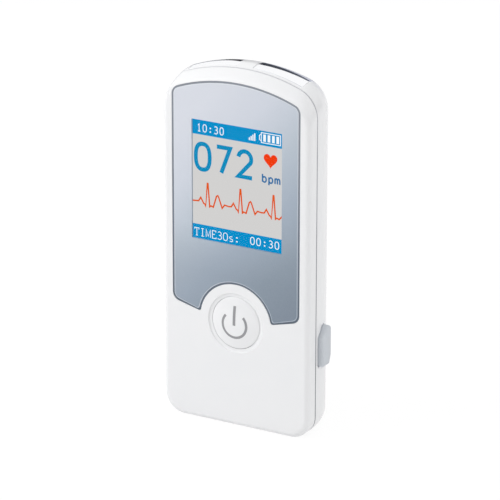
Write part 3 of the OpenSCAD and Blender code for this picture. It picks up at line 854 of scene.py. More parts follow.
def hang_dark_card():
    """Behind the object: dark over a rising edge, grey below it, and white at the upper left."""
    away = Vector((-0.5, 0.866, 0))
    along = Vector((away.y, -away.x, 0))
    left, right, low, high = -0.45, 0.62, 0.001, 0.5
    corners = [away + along * s + Vector((0, 0, z))
               for s, z in ((left, low), (right, low), (right, high), (left, high))]

    def colour(finish):
        x, y, z = finish.sides()
        s = x * along.x + y * along.y
        dark = finish.ramp(s / 450, (0, (0.03, 0.032, 0.04, 1)), (0.45, (0.075, 0.085, 0.11, 1)),
                           (1, (0.2, 0.23, 0.31, 1)))
        rise = ((s + 20).at_least(0) * 1.25).at_most(350)
        behind = finish.mix(((z - rise) / 20).clamped(), (0.58, 0.59, 0.67, 1), dark)
        beside = finish.mix(((z - 235) / 20).clamped(), (0.38, 0.39, 0.42, 1), WHITE)
        return finish.mix(((s + 65) / 30).clamped(), beside, behind)

    gloss_card("dark_card", corners, [(0, 1, 2, 3)], colour)


def hang_room_cards():
    """Dim walls and a grey ceiling, for what polished metal shows in views from other sides."""
    first, last, far, high, steps = math.radians(165), math.radians(425), 1.3, 0.62, 40
    lows = [(far * math.cos(a), far * math.sin(a), 0.001)
            for a in steps_between(first, last, steps)]
    highs = [(x, y, high) for x, y, _ in lows]
    strips = [(i, i + 1, i + steps + 2, i + steps + 1) for i in range(steps)]

    def fading(dim, fade_of):
        def colour(finish):
            shade = (dim, dim * 1.03, dim * 1.1, 1)
            return finish.mix(fade_of(*finish.sides()).clamped(), shade, (0.96, 0.97, 0.98, 1))
        return colour

    gloss_card("room_walls", lows + highs, strips, fading(0.09, lambda x, y, z: (z - 380) / 240))
    gloss_card("room_ceiling", *square(0.75, 1.5),
               fading(0.42, lambda x, y, z: (x * x + y * y) ** 0.5 / 700))


aim_camera()
light_world(strength=0.72)
lamp("key", place=(-0.36, -0.31, 0.42), size=0.35, power=1.23)
lamp("fill", place=(0.55, 0.12, 0.3), size=0.4, power=0.4)
lay_floor(half=6.0, paper=0.84, glow=1.06, shown_part=0.86)
hang_dark_card()
hang_room_cards()


# ---------- covers ----------

CASE = case_plastic()
JOINT_PAINTED_SHADE = joint_painted_shade()
CORNERS = [(x, z) for z in (SCREW_LOW, SCREW_HIGH) for x in (-SCREW_X, SCREW_X)]
POSTS = [(x, z) for z in (POST_LOW, POST_HIGH) for x in (-POST_X, POST_X)]


def front_cover():
    """The display face with its rim, the window's recess and the button's dish."""
    rim_depths = [EDGE_R * (1 - math.cos(math.pi / 2 * i / 14)) for i in range(15)]
    end = JOINT_DEPTH - JOINT_GAP / 2
    rings = [case_ring(d) for d in rim_depths + [2.2, 2.8, 3.4, 4.1, end - JOINT_CHAMFER]]
    rings.append(case_ring(end, JOINT_CHAMFER))
    cover = loft("front_cover_shell", rings)
    room = case_outline(HALF_W - WALL, CASE_H - top_in(FRONT_WALL, CASE_D) - WALL, WALL,
                        CORNER_R - WALL, SHOULDER_R - WALL, TOP_R - WALL, 0.5)
    carve(cover, loft("room", [facing(room, FRONT_WALL), facing(room, end + 1)]))
    root, boss_end, post_end = FRONT_WALL - 0.2, 6.9, 5.4
    add(cover, *[rod("boss", x, z, root, boss_end, 2.6) for x, z in CORNERS])
    add(cover, *[rod("post", x, z, root, post_end, 1.9) for x, z in POSTS])
    carve(
        cover,
        pocket("recess", lambda by=0: window_outline(by + 0.1), 0, RECESS_DEPTH, 0.12),
        pocket("opening", rectangle(-19.4, 19.4, 60.1, 105.9, 0.5), 0.5, FRONT_WALL + 1),
        turned("dish", dish_profile(), z=BUTTON_Z, steps=128),
        *[rod("bore", x, z, FRONT_WALL, 8, 1.05) for x, z in CORNERS],
        *[rod("bore", x, z, FRONT_WALL, 7, 0.85) for x, z in POSTS])
    dress_cover(cover, "front_cover")


def dish_profile():
    """The dish round the button and the hole in its floor, as a cutter's profile."""
    rim, beyond = 0.22, FRONT_WALL + 1
    lip_r, lip_depth = DISH_R + rim, rim * 0.6
    floor_r = BUTTON_R + BUTTON_GAP
    profile = [(0, -1), (lip_r, -1), (lip_r, 0)]
    profile += [(DISH_R + inset, rise * 0.6) for inset, rise in quarter(rim, 4)[1:]]
    for a in (math.pi / 2 * i / 8 for i in range(1, 9)):
        profile.append((floor_r + (DISH_R - floor_r) * math.cos(a),
                        lip_depth + (DISH_DEPTH - lip_depth) * math.sin(a)))
    return profile + [(floor_r, beyond), (0, beyond)]


def dress_cover(cover, node):
    paint(polish(cover), CASE)
    # Painted shade on the faces of the groove between the covers.
    paint(cover, JOINT_PAINTED_SHADE, beside_joint)
    hand_over(cover, "case", "white_case", node)


# The faces in the groove between the covers, which get the painted shade.
def beside_joint(x, depth, z, normal):
    reach = JOINT_GAP / 2 + JOINT_CHAMFER + 0.01
    return abs(depth - JOINT_DEPTH) < reach and abs(normal.y) > 0.4


def crest_grid(name, xs, ds, low_of, high_of):
    """A solid over a grid of (x, depth) places, between two heights given by functions."""
    rows, columns = len(ds), len(xs)
    points = [(x, d, f(x, d)) for f in (low_of, high_of) for d in ds for x in xs]
    layer = rows * columns
    faces = []
    for base in (0, layer):
        for r in range(rows - 1):
            for c in range(columns - 1):
                a = base + r * columns + c
                faces.append((a, a + 1, a + columns + 1, a + columns))
    edge = list(range(columns))
    edge += [r * columns + columns - 1 for r in range(1, rows)]
    edge += [(rows - 1) * columns + c for c in range(columns - 2, -1, -1)]
    edge += [r * columns for r in range(rows - 2, 0, -1)]
    for i, a in enumerate(edge):
        b = edge[(i + 1) % len(edge)]
        faces.append((a, b, b + layer, a + layer))
    return solid(name, points, faces)


def electrode_recess(name, side):
    """A cutter for a top electrode's seat."""
    xs = [side * x for x in steps_between(ELECTRODE_X[0] - FIT, ELECTRODE_X[1] + FIT, 60)]
    ds = steps_between(ELECTRODE_D[0] - FIT, ELECTRODE_D[1] + FIT, 26)
    sunk = ELECTRODE_T + FIT
    return crest_grid(name, xs, ds,
                      lambda x, d: crest_z(x, d) - sunk, lambda x, d: crest_z(x, d) + 2)


def rear_cover():
    """The rounded back with the battery compartment, the screws' bosses and the side pocket."""
    start = JOINT_DEPTH + JOINT_GAP / 2
    deep = CASE_D - WALL
    rings = [case_ring(start, JOINT_CHAMFER)]
    rings += [case_ring(d) for d in back_depths(start + JOINT_CHAMFER, CASE_D, 44)]
    cover = loft("rear_cover_shell", rings)
    inner = [start - 1] + back_depths(start, deep, 14)
    carve(cover, case_solid("room", inner, WALL, deep, 0.5))
    seat, bay_half, cells_half = 3, 11.86, 10.76
    inside = block("bay", (-bay_half, bay_half), (7.6, 19.2), (34.4, 85.6))
    add(
        inside,
        plate("ledge", rectangle(-17, 17, 28, 91, 2.5), 18.2, 19.4),
        *[rod("boss", x, z, 6.9, CASE_D, 3.1) for x, z in CORNERS],
        block("side_plate", (24.2, HALF_W), (6.8, 14.1), (21.8, 39.4)),
        *[block("seat", (x - seat, x + seat), (STUD_DEPTH - seat, STUD_DEPTH + seat),
                (116.4, CASE_H)) for x in (-STUD_X, STUD_X)],
        block("seat_base", (-seat, seat),
              (FOOT_STUD_DEPTH - seat, FOOT_STUD_DEPTH + seat), (0, 2.4)))
    form = case_solid("form", back_depths(JOINT_DEPTH, CASE_D, 20), WALL / 2, CASE_D, 0.5)
    carve(inside, form, how="INTERSECT")
    add(cover, inside)
    door = rectangle(-DOOR_HALF, DOOR_HALF, DOOR_LOW, DOOR_HIGH, DOOR_R)
    carve(
        cover,
        pocket("door", lambda by=0: door(by + GAP), CASE_D, CASE_D - WALL, 0.3),
        block("cells", (-cells_half, cells_half), (8.7, CASE_D + 1), (35.5, 84.5)),
        *[block("hook", (x - 2.8, x + 2.8), (16.3, 19.3), (28.9, 34.5)) for x in HOOKS],
        electrode_recess("seat_left", -1),
        electrode_recess("seat_right", 1),
        plate("seat_base", lambda by=0: foot_outline(by + FIT), -0.5, 0.9, lay=upright),
        *[rod("bore", x, z, 5.9, 14, 1.1) for x, z in CORNERS],
        *[pocket("counterbore", disc(x, z, 1.9), CASE_D, 13, 0.25) for x, z in CORNERS],
        pocket("flap", lambda by=0: flap_outline(by + GAP), HALF_W + 3, 25.9, lay=sideways),
        block("socket", (23.2, HALF_W), (6.3, 9.5), (26.1, 34.3)),
        turned("peg", [(0.95, 22), (0.95, HALF_W)], depth=10.7, z=25.5, axis="x", steps=32),
        *[stud_hole(x, STUD_DEPTH, 115, CASE_H + 1) for x in (-STUD_X, STUD_X)],
        stud_hole(0, FOOT_STUD_DEPTH, -1, 4))
    dress_cover(cover, "rear_cover")


def flap_outline(by=0):
    """The side cover's outline as (depth, z): its upper front and lower rear corners slant."""
    front, rear, low, high = 6.5 - by, 12.3 + by, 23.8 - by, 37.1 + by
    return rounded([
        (front, low, 1 + by),
        (11.1 + by * 0.4, low, 1 + by),
        (rear, 26.8 - by * 0.4, 1.6 + by),
        (rear, high, 1.2 + by),
        (9.7 - by, high, 1.2 + by),
        (front, 33.6 + by, 2 + by)])


# ---------- window and picture ----------

def window():
    """The window with its bevel, its stepped edge in print and painted shade, and the picture's
    opening.
    """
    step, bevel, fall_in, ledge, grown = 0.56, 0.28, 0.1, 0.2, 0.06
    rings = [facing(window_outline(-step - bevel), 0)]
    rings += [facing(window_outline(-step - bevel * (1 - t)), fall_in * t) for t in (0.5, 1)]
    rings += [facing(window_outline(-step), ledge), facing(window_outline(grown), ledge)]
    rings += [facing(window_outline(grown), WINDOW_T)]
    pane = loft("window_film", rings)
    picture = rectangle(*PICTURE_X, PICTURE_LOW, PICTURE_HIGH, 0.3, 4)
    carve(pane, pocket("picture", picture, 0, WINDOW_T + 1, 0.08))
    polish(pane)
    # The film's print carries a painted reflection, its bevel a painted highlight, and its stepped
    # edge print and painted shade.
    paint(pane, window_print_and_painted_reflection())
    paint(pane, window_bevel_painted_highlight(),
          lambda x, d, z, n: 0.005 < d < fall_in - 0.005 and not inside_picture(x, z))
    paint(pane, window_edge_print_and_shade(),
          lambda x, d, z, n: fall_in < d < WINDOW_T - 0.01 and not inside_picture(x, z))
    hand_over(pane, "case", "window", "display_window")
    clear = plate("window_clear", lambda by=0: picture(by - 0.02), 0.02, 0.2)
    paint(polish(clear), clear_pane())
    hand_over(clear, "case", "window")


def inside_picture(x, z):
    return PICTURE_X[0] - 1 < x < PICTURE_X[1] + 1 and PICTURE_LOW - 1 < z < PICTURE_HIGH + 1


PRINT_T = 0.03


def layer(level):
    """The two depths of a thin layer of the picture; a higher level lies nearer the viewer."""
    near = PICTURE_DEPTH - PRINT_T * level
    return near, near + PRINT_T * 0.9


def panel(name, finish, outline, level=1):
    """A thin lit shape of the picture."""
    return paint(loft(name, [facing(outline, depth) for depth in layer(level)]), finish)


def stroke(points, width):
    """Pairs of points on the left and the right edge of a line of even width."""
    pairs = []
    for i, point in enumerate(points):
        here = Vector(point)
        before = Vector(points[max(i - 1, 0)])
        after = Vector(points[min(i + 1, len(points) - 1)])
        first = (here - before).normalized() if i > 0 else (after - here).normalized()
        second = (after - here).normalized() if i < len(points) - 1 else first
        normal = Vector((-first.y - second.y, first.x + second.x)).normalized()
        reach = width / 2 / max(0.45, normal.dot(Vector((-first.y, first.x))))
        pairs.append((tuple(here + normal * reach), tuple(here - normal * reach)))
    return pairs


def line(name, finish, points, width, level=1):
    """A lit line of even width."""
    near, far = layer(level)
    rings = [[(lx, near, lz), (rx, near, rz), (rx, far, rz), (lx, far, lz)]
             for (lx, lz), (rx, rz) in stroke(points, width)]
    return paint(loft(name, rings), finish)


def oval(x, z, rx, rz, first, last, steps=20, power=1.0):
    """Part of an oval, its angles in degrees; a power below 1 makes it squarer."""
    def swell(value):
        return math.copysign(abs(value) ** power, value)
    turns = [math.radians(a) for a in steps_between(first, last, steps)]
    return [(x + rx * swell(math.cos(a)), z + rz * swell(math.sin(a))) for a in turns]


def ring_of(x, z, rx, rz, power=1.0):
    """A whole oval as two strokes that overlap."""
    return [oval(x, z, rx, rz, start, start + 190, 24, power) for start in (85, 265)]


# Strokes of each character in a box of one by one
STROKES = {
    "0": ring_of(0.5, 0.5, 0.5, 0.5, 0.8),
    "1": [[(0.18, 0.8), (0.52, 1), (0.52, 0)], [(0.2, 0), (0.84, 0)]],
    "2": [oval(0.48, 0.71, 0.46, 0.29, 170, -28) + [(0.02, 0), (1, 0)]],
    "3": [oval(0.45, 0.755, 0.42, 0.245, 145, -90, 14), oval(0.45, 0.27, 0.5, 0.27, 100, -145, 16)],
    "7": [[(0, 1), (0.95, 1), (0.32, 0)]],
    ":": [[(0.32, z), (0.68, z)] for z in (0.1, 0.17, 0.6, 0.67)],
    "T": [[(0, 0.8), (0, 1), (1, 1), (1, 0.8)], [(0.5, 1), (0.5, 0)], [(0.26, 0), (0.74, 0)]],
    "I": [[(0.5, 0), (0.5, 1)], [(0.2, 0), (0.8, 0)], [(0.2, 1), (0.8, 1)]],
    "M": [[(0, 0), (0, 1), (0.5, 0.12), (1, 1), (1, 0)]],
    "E": [[(0.95, 0.82), (0.95, 1), (0.12, 1), (0.12, 0), (1, 0), (1, 0.18)],
          [(0.12, 0.52), (0.7, 0.52)]],
    "s": [oval(0.5, 0.5, 0.36, 0.16, 40, 270, 12), oval(0.5, 0.17, 0.4, 0.17, 90, -140, 12)],
    "b": [[(0.08, 0), (0.08, 1)]] + ring_of(0.5, 0.34, 0.42, 0.34),
    "p": [[(0.08, -0.3), (0.08, 0.7)]] + ring_of(0.5, 0.34, 0.42, 0.34),
    "m": [[(0, 0), (0, 0.7)], oval(0.27, 0.42, 0.27, 0.26, 180, 0, 10) + [(0.54, 0)],
          oval(0.81, 0.42, 0.27, 0.26, 180, 0, 10) + [(1.08, 0)]],
}


def wording(name, words, finish, xs, zs, width, fill, level):
    """Plain numbers or words in drawn strokes, evenly set between two sides and two heights."""
    pitch = (xs[1] - xs[0]) / (len(words) - 1 + fill)
    wide, tall = pitch * fill - width, zs[1] - zs[0] - width
    strokes = []
    for i, character in enumerate(words):
        left, low = xs[0] + pitch * i + width / 2, zs[0] + width / 2
        for points in STROKES[character]:
            placed = [(left + u * wide, low + v * tall) for u, v in points]
            strokes.append(line(name, finish, placed, width, level))
    piece = add(*strokes)
    piece.name = name
    return piece


def heart_outline(x, z, r):
    """A heart: two round lobes over a point."""
    lobes = []
    for i in range(48):
        a = 2 * math.pi * i / 48
        u = 16 * math.sin(a) ** 3
        v = 13 * math.cos(a) - 5 * math.cos(2 * a) - 2 * math.cos(3 * a) - math.cos(4 * a)
        lobes.append((x + r * u / 16, z + r * v / 15))
    return lobes


def heart_trace():
    """One beat of the trace as (x, height) from its peak, repeated across the picture."""
    beat = [(-3.4, 1.5), (-2.6, 2.8), (-1.5, 0.9), (-1.1, 0.8), (-0.75, 0), (-0.12, 7.9),
            (0.12, 7.9), (0.75, 0.1), (1.2, 0.5), (2.1, 0.2), (3.3, 4.1), (3.8, 4.4), (4.1, 3.9),
            (5.4, 0.4), (6.3, 1.6), (7.8, 1.4)]
    base, pitch, first = 74.1, 12.2, -10.6
    left, right = PICTURE_X[0] + 0.05, PICTURE_X[1] - 0.05
    points = [(left, base + 1.3)]
    for i in range(3):
        peak = first + pitch * i
        points += [(peak + dx, base + dz) for dx, dz in beat
                   if left + 0.5 < peak + dx < right - 0.3]
    return points + [(right, base + 1.4)]


def display():
    """The lit picture: two bars, the time, the battery, the pulse and its trace."""
    ground = lit("picture_ground", tone(210, 209, 208), 0.97)
    blue = lit("picture_blue", tone(0, 142, 202))
    digits = lit("picture_digits", tone(4, 138, 188))
    deep = lit("picture_deep", tone(52, 112, 164))
    white = lit("picture_white", tone(246, 250, 252), 0.97)
    red = lit("picture_red", tone(240, 58, 6))
    orange = lit("picture_orange", tone(224, 84, 14))
    edge = lit("picture_edge", tone(96, 118, 140))
    clear, thin, frame_w = 0.02, 0.1, 0.26
    x0, x1 = PICTURE_X[0] + clear, PICTURE_X[1] - clear
    low, high = PICTURE_LOW + clear, PICTURE_HIGH - clear
    bar_top, bar_low = 98.15, 67.65

    def show(piece):
        hand_over(piece, "case", "display")

    def bar(name, finish, left, right, z0, z1, level=2):
        show(panel(name, finish, rectangle(left, right, z0, z1, 0)(), level))

    base = plate("picture_panel", rectangle(x0, x1, low, high, 0.2, 2), PICTURE_DEPTH, 1.05)
    show(paint(base, ground))
    bar("picture_top_bar", blue, x0, x1, bar_top, high, 1)
    bar("picture_low_bar", blue, x0, x1, low, bar_low, 1)
    bar("picture_edge_top", edge, x0, x1, high - thin, high)
    bar("picture_edge_left", edge, x0, x0 + thin, low, high - thin)
    bar("picture_edge_right", edge, x1 - thin, x1, low, high - thin)
    for name, words, finish, xs, zs, width, fill, level in (
            ("picture_clock", "10:30", white, (-14.5, -4.55), (99.1, 101.8), 0.27, 0.74, 2),
            ("picture_pulse", "072", digits, (-15.7, 6.6), (85.75, 95.8), 1.42, 0.84, 1),
            ("picture_unit", "bpm", deep, (9.35, 16.2), (85.75, 88.9), 0.52, 0.9, 1),
            ("picture_label", "TIME30s:", white, (-15.6, 1.2), (63.6, 66.4), 0.22, 0.84, 2),
            ("picture_timer", "00:30", white, (5.25, 15.95), (64.0, 66.7), 0.27, 0.74, 2)):
        show(wording(name, words, finish, xs, zs, width, fill, level))
    for i in range(4):
        left = 4.7 + 0.66 * i
        bar(f"picture_signal_{i}", white, left, left + 0.4, 99.2, 100.1 + 0.55 * i)
    left, right, z0, z1 = 9.15, 16.4, 98.95, 102.5
    bar("picture_battery_low", white, left, right, z0, z0 + frame_w)
    bar("picture_battery_high", white, left, right, z1 - frame_w, z1)
    bar("picture_battery_left", white, left, left + frame_w, z0 + frame_w, z1 - frame_w)
    bar("picture_battery_right", white, right - frame_w, right, z0 + frame_w, z1 - frame_w)
    nub = [(left, z1 - 0.7), (left - 0.55, z1 - 1.1), (left - 0.55, z0 + 1.1), (left, z0 + 0.7)]
    show(line("picture_battery_nub", white, nub, frame_w, 2))
    for i in range(4):
        start = left + 0.85 + 1.6 * i
        bar(f"picture_battery_bar_{i}", white, start, start + 0.95, z0 + 0.6, z1 - 0.6)
    show(panel("picture_heart", red, heart_outline(12.65, 93.6, 2.5)))
    show(line("picture_trace", orange, heart_trace(), 0.5))


# ---------- button ----------

def crown_depth(r):
    """Depth of the button's crowned face at a radius."""
    return CROWN_EDGE - (CROWN_TOP + CROWN_EDGE) * (1 - (r / BUTTON_R) ** CROWN_POWER)


def button():
    """The button's cap with its flange and stem."""
    rim, flange_t, cap_wall, stem_r = 0.7, 0.7, 1.2, 2.2
    edge_r = BUTTON_R - rim
    profile = [(r, crown_depth(r)) for r in (edge_r * i / 24 for i in range(25))]
    top = crown_depth(edge_r)
    slope = math.degrees(math.atan((CROWN_TOP + CROWN_EDGE) * CROWN_POWER / BUTTON_R))
    turns = [math.radians(slope + (90 - slope) * i / 8) for i in range(1, 9)]
    profile += [(edge_r + rim * math.sin(a), top + rim * (1 - math.cos(a))) for a in turns]
    flange = FRONT_WALL + GAP
    flange_r, inner_r = BUTTON_R + 1.1, BUTTON_R - cap_wall
    profile += [(BUTTON_R, flange), (flange_r, flange), (flange_r, flange + flange_t),
                (inner_r, flange + flange_t), (inner_r, 1), (stem_r, 1), (stem_r, flange),
                (0, flange)]
    cap = turned("button_cap", profile, z=BUTTON_Z, steps=128)
    paint(polish(cap), CASE)
    hand_over(cap, "button", "white_case", "power_button")


def power_mark():
    """The grey ring and bar inlaid in the cap, joined to one piece."""
    half = SYMBOL_STROKE / 2
    across = 4
    radii = [SYMBOL_R - half + SYMBOL_STROKE * k / across for k in range(across + 1)]
    ring_rows = []
    for degrees in steps_between(90 + SYMBOL_OPENING, 450 - SYMBOL_OPENING, 72):
        a = math.radians(degrees)
        ring_rows.append([(r * math.cos(a), r * math.sin(a) - SYMBOL_DROP) for r in radii])
    bar_half, bar_low, bar_high = 0.49, -0.5, 6.1
    bar_rows = [[(bar_half * (2 * k / across - 1), z) for k in range(across + 1)]
                for z in steps_between(bar_low, bar_high, 24)]
    mark = add(inlay("power_mark", ring_rows), inlay("power_bar", bar_rows))
    grey = grained("symbol_print", (152, 152, 155), (160, 160, 163), grain=(3000, 2),
                   roughness=0.35, spread=0.1)
    paint(polish(mark), grey)
    hand_over(mark, "button", "grey_print", "power_symbol")


def inlay(name, rows):
    """A band that follows the button's crown, a little proud of it."""
    proud, sunk = 0.025, 0.35
    rings = []
    for row in rows:
        top = [(u, crown_depth(math.hypot(u, v)) - proud, BUTTON_Z + v) for u, v in row]
        low = [(u, crown_depth(math.hypot(u, v)) + sunk, BUTTON_Z + v) for u, v in reversed(row)]
        rings.append(top + low)
    return loft(name, rings)


# ---------- electrodes ----------

def stud(x, depth, low, high):
    """An electrode's upright stud, its thread drawn plain."""
    return turned("stud", [(0, low), (STUD_R, low), (STUD_R, high), (0, high)],
                  x=x, depth=depth, axis="z", steps=32)


def stud_hole(x, depth, low, high):
    """A cutter for the hole round a stud."""
    r = STUD_R + FIT
    return turned("stud_hole", [(r, low), (r, high)], x=x, depth=depth, axis="z", steps=32)


def foot_outline(by=0):
    """The base electrode's outline as (x, depth)."""
    return rectangle(-FOOT_HALF, FOOT_HALF, *FOOT_D, 2)(by)


def top_electrode(side):
    """A thin plate over the crest, its edges rolled down; the left one is mirrored."""
    roll = 0.25

    def lowered(value, low, high):
        reach = min(value - low, high - value)
        if reach >= roll:
            return 0
        return roll - math.sqrt(roll ** 2 - (roll - max(reach, 0)) ** 2)

    def levels(low, high, count):
        edge = [low + roll * (1 - math.cos(math.pi / 2 * i / 5)) for i in range(5)]
        far = [high + low - value for value in reversed(edge)]
        return edge + steps_between(low + roll, high - roll, count) + far

    def height(x, d):
        drop = max(lowered(x, *ELECTRODE_X), lowered(d, *ELECTRODE_D))
        return crest_z(x, d) - 0.9 * drop

    xs = levels(*ELECTRODE_X, 70)
    ds = levels(*ELECTRODE_D, 40)
    piece = crest_grid("electrode_right", xs, ds,
                       lambda x, d: crest_z(x, d) - ELECTRODE_T, height)
    add(piece, stud(STUD_X, STUD_DEPTH, 114.2, 120))
    polish(piece, 50)
    if side == "left":
        right = piece
        piece = mirror_x(right, "electrode_left")
        discard(right)
    paint(piece, STEEL)
    hand_over(piece, "case", "electrode_steel", "electrode_top_" + side)


def base_electrode():
    """The steel plate in the base, with its stud."""
    piece = plate("electrode_foot", foot_outline, 0, ELECTRODE_T, 0.2, 0, lay=upright)
    add(piece, stud(0, FOOT_STUD_DEPTH, 0.4, 4.4))
    paint(polish(piece), STEEL)
    hand_over(piece, "case", "electrode_steel", "electrode_base")


# ---------- battery door, cells and side cover ----------

def battery_door():
    """The door with its hooks, its spring tongue and its grip grooves."""
    outline = rectangle(-DOOR_HALF, DOOR_HALF, DOOR_LOW, DOOR_HIGH, DOOR_R)
    door = plate("door_plate", outline, CASE_D - DOOR_T, CASE_D, 0.1, 0.3)
    hooks = []
    for x in HOOKS:
        hooks.append(block("hook", (x - 2.5, x + 2.5), (18, 19.6), (31.1, 32.6)))
        hooks.append(block("hook", (x - 2.5, x + 2.5), (18, 18.9), (29.2, 32.6)))
    add(door, *hooks, block("nub", (-GRIP_X, GRIP_X), (19.5, 20.5), (88.8, 89.2)))
    slits = [block("slit", sorted((4.4 * side, 5 * side)), (18, 22), (80, 90)) for side in (-1, 1)]
    groove_r, pitch = 0.55, 1.6
    grooves = [turned("groove", [(groove_r, -GRIP_X), (groove_r, GRIP_X)], depth=CASE_D + 0.15,
                      z=DOOR_HIGH - pitch * i - 1.2, axis="x", steps=24) for i in range(1, 5)]
    carve(door, *slits, *grooves)
    paint(polish(door), CASE)
    hand_over(door, "door", "white_case", "battery_door")


def cell(name, x, base, up, node):
    """A battery cell: sleeve, rolled ends and contact button."""
    r, length, nub_r = CELL_R, CELL_L, 1.9
    profile = [(0, 0.15), (r - 1.6, 0.15), (r - 1.2, 0)]
    profile += [(r - inset, rise) for inset, rise in quarter(0.5, 5)]
    profile += [(r - inset, length - rise) for inset, rise in reversed(quarter(0.6, 5))]
    profile += [(r - 1.4, length - 0.1), (r - 1.6, length - 0.3), (nub_r + 0.5, length - 0.3),
                (nub_r + 0.2, length), (nub_r, length + 0.3), (nub_r, length + 0.85),
                (nub_r - 0.15, length + 1), (0, length + 1)]
    sign = 1 if up else -1
    piece = turned(name, [(radius, sign * level) for radius, level in profile],
                   x=x, depth=CELL_DEPTH, z=base, axis="z", steps=72)
    paint(polish(piece), cell_sleeve(name + "_sleeve", base, base + sign * length))
    paint(piece, METAL, lambda px, d, z, n: math.hypot(px - x, d - CELL_DEPTH) < r - 1.3)
    hand_over(piece, "case", "battery_sleeve", node)


def side_cover():
    """The rubber cover over the socket: a soft-edged body and its plug."""
    outer = HALF_W + 1.8
    body = plate("side_cover_body", flap_outline, 26.2, outer, 0.2, 0.8, lay=sideways)
    plug = rectangle(6.7, 9.1, 26.5, 33.9, 0.8)
    add(body, plate("plug", plug, 24.6, 26.5, 0.3, 0, lay=sideways))
    paint(polish(body, 50), RUBBER)
    hand_over(body, "side_cover", "grey_rubber", "usb_cover")


# ---------- what repeats, as geometry nodes ----------

class Grower(Maker):
    """A geometry node tree with named inputs."""

    def __init__(self, name, **inputs):
        self.group = bpy.data.node_groups.new(name, "GeometryNodeTree")
        super().__init__(self.group)
        for label, value in inputs.items():
            kind = "NodeSocketObject" if isinstance(value, bpy.types.Object) else "NodeSocketFloat"
            self.group.interface.new_socket(label, in_out="INPUT", socket_type=kind)
        self.group.interface.new_socket(
            "Geometry", in_out="OUTPUT", socket_type="NodeSocketGeometry")
        self.values = inputs
        entry = self.tree.nodes.new("NodeGroupInput")
        self.inputs = {label: Flow(self, entry.outputs[label]) for label in inputs}

    def vector(self, x=0.0, y=0.0, z=0.0):
        return self.node("ShaderNodeCombineXYZ", None, {"X": x, "Y": y, "Z": z})

    def grow(self, name, geometry, material):
        """Evaluates the tree and keeps its result as a plain mesh."""
        whole = self.node("GeometryNodeRealizeInstances", None, {"Geometry": geometry})
        dressed = self.node("GeometryNodeSetMaterial", None, {
            "Geometry": whole, "Material": material})
        self.node("NodeGroupOutput", None, {"Geometry": dressed})
        piece = bpy.data.objects.new(name, bpy.data.meshes.new(name))
        scene.collection.objects.link(piece)
        modifier = piece.modifiers.new("grow", "NODES")
        modifier.node_group = self.group
        for item in self.group.interface.items_tree:
            if item.in_out == "INPUT":
                modifier[item.identifier] = self.values[item.name]
        settle(piece)
        piece.data.name = name
        return piece


def screw(name, head_r, head_t, shank_r, shank_l, slot_half, slot_deep):
    """One screw along the depth, its head's underside at depth 0."""
    profile = [(0, -shank_l), (shank_r * 0.7, -shank_l), (shank_r, -shank_l + 0.4), (shank_r, 0),
               (head_r, 0), (head_r, head_t - 0.35), (head_r - 0.12, head_t - 0.12),
               (head_r - 0.4, head_t), (0, head_t)]
    piece = turned(name, profile, steps=40)
    half = 0.2
    carve(
        piece,
        block("slot", (-slot_half, slot_half), (head_t - slot_deep, head_t + 1), (-half, half)),
        block("slot", (-half, half), (head_t - slot_deep, head_t + 1), (-slot_half, slot_half)))
    return polish(piece)


def four_screws(name, node, model, half_x, low, high, depth):
    """The same screw at four corners."""
    grower = Grower(name, Screw=model, Width=2 * half_x * MM, Height=(high - low) * MM,
                    Middle=(high + low) / 2 * MM, Depth=depth * MM)
    take = grower.inputs
    grid = grower.node("GeometryNodeMeshGrid", None, {
        "Size X": take["Width"], "Size Y": take["Height"], "Vertices X": 2, "Vertices Y": 2})
    standing = grower.node("GeometryNodeTransform", None, {
        "Geometry": grid, "Rotation": (math.pi / 2, 0, 0),
        "Translation": grower.vector(y=take["Depth"], z=take["Middle"])})
    single = grower.node("GeometryNodeObjectInfo", None, {"Object": take["Screw"]}, "Geometry")
    placed = grower.node("GeometryNodeInstanceOnPoints", None, {
        "Points": standing, "Instance": single})
    hand_over(grower.grow(name, placed, METAL), "case", "bright_metal", node)
    discard(model)


def battery_spring(name, x, seat, sign, *node):
    """A conical wire spring that grows from its seat."""
    wire = 0.25
    grower = Grower(name, Wide=3.6 * MM, Narrow=2.0 * MM, Length=3.4 * MM, Wire=wire * MM,
                    Turns=4.0)
    take = grower.inputs
    helix = grower.node("GeometryNodeCurveSpiral", None, {
        "Resolution": 40, "Rotations": take["Turns"], "Start Radius": take["Wide"],
        "End Radius": take["Narrow"], "Height": take["Length"]})
    ring = grower.node("GeometryNodeCurvePrimitiveCircle", None, {
        "Resolution": 10, "Radius": take["Wire"]})
    coil = grower.node("GeometryNodeCurveToMesh", None, {
        "Curve": helix, "Profile Curve": ring, "Fill Caps": True})
    turn = 0.0 if sign > 0 else math.pi
    placed = grower.node("GeometryNodeTransform", None, {
        "Geometry": coil, "Rotation": (turn, 0, 0),
        "Translation": (x * MM, (FRONT_Y + CELL_DEPTH) * MM, (seat + sign * wire) * MM)})
    hand_over(grower.grow(name, placed, METAL), "case", "bright_metal", *node)


# ---------- putting the monitor together ----------

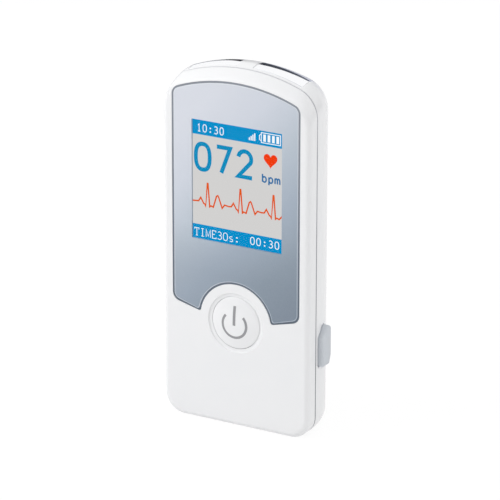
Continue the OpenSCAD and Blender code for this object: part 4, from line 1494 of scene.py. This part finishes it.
STEEL = electrode_steel()
METAL = grained("bright_metal", (196, 198, 200), (222, 223, 224), grain=(900, 3, 0.6),
                roughness=0.22, spread=0.14, relief=0.000008, metallic=1.0)
RUBBER = grey_rubber()

front_cover()
rear_cover()
window()
display()
button()
power_mark()
top_electrode("right")
top_electrode("left")
base_electrode()
battery_door()
side_cover()

cell("cell_right", CELL_X, base=39.7, up=True, node="battery_right")
cell("cell_left", -CELL_X, base=80.3, up=False, node="battery_left")
case_screw = screw("case_screw", head_r=1.8, head_t=1.4, shank_r=1.0, shank_l=9.9,
                   slot_half=1.1, slot_deep=0.6)
four_screws("case_screw_set", "case_screws", case_screw, SCREW_X, SCREW_LOW, SCREW_HIGH, depth=13)
board_screw = screw("board_screw", head_r=1.36, head_t=0.9, shank_r=0.8, shank_l=4.1,
                    slot_half=0.9, slot_deep=0.4)
four_screws("board_screw_set", "board_screws", board_screw, POST_X, POST_LOW, POST_HIGH, depth=6.6)
battery_spring("spring_lower", CELL_X, 35.8, 1, "battery_springs")
battery_spring("spring_upper", -CELL_X, 84.2, -1)

BY_SLOT = {
    "tape": tape_foam(),
    "display": grained("display_glass", (120, 124, 126), (142, 146, 148), grain=(120, 3),
                       roughness=0.08, spread=0.05),
    "backlight": grained("backlight_frame", (232, 234, 234), (242, 242, 240), grain=(1800, 3),
                         roughness=0.5, spread=0.1, relief=0.00001),
    "ribbon": ribbon_film(),
    "board": board_mask(),
    "chip": grained("chip_epoxy", (28, 28, 30), (44, 44, 47), grain=(5200, 4, 0.7),
                    roughness=0.55, spread=0.2, relief=0.00002),
    "ceramic_part": grained("ceramic_part", (168, 132, 92), (190, 156, 116), grain=(2600, 3),
                            roughness=0.45, spread=0.1),
    "bright_metal": METAL,
    "brass": grained("brass", (206, 172, 98), (222, 192, 122), grain=(1100, 3, 0.6),
                     roughness=0.22, spread=0.15, metallic=1.0),
    "grey_rubber": RUBBER}
for part in frame["record"]["subparts"]:
    node = frame["nodes"][part["node"]]
    if not node.hide_render:
        node.data.materials.clear()
        node.data.materials.append(BY_SLOT[part["material_slot"]])
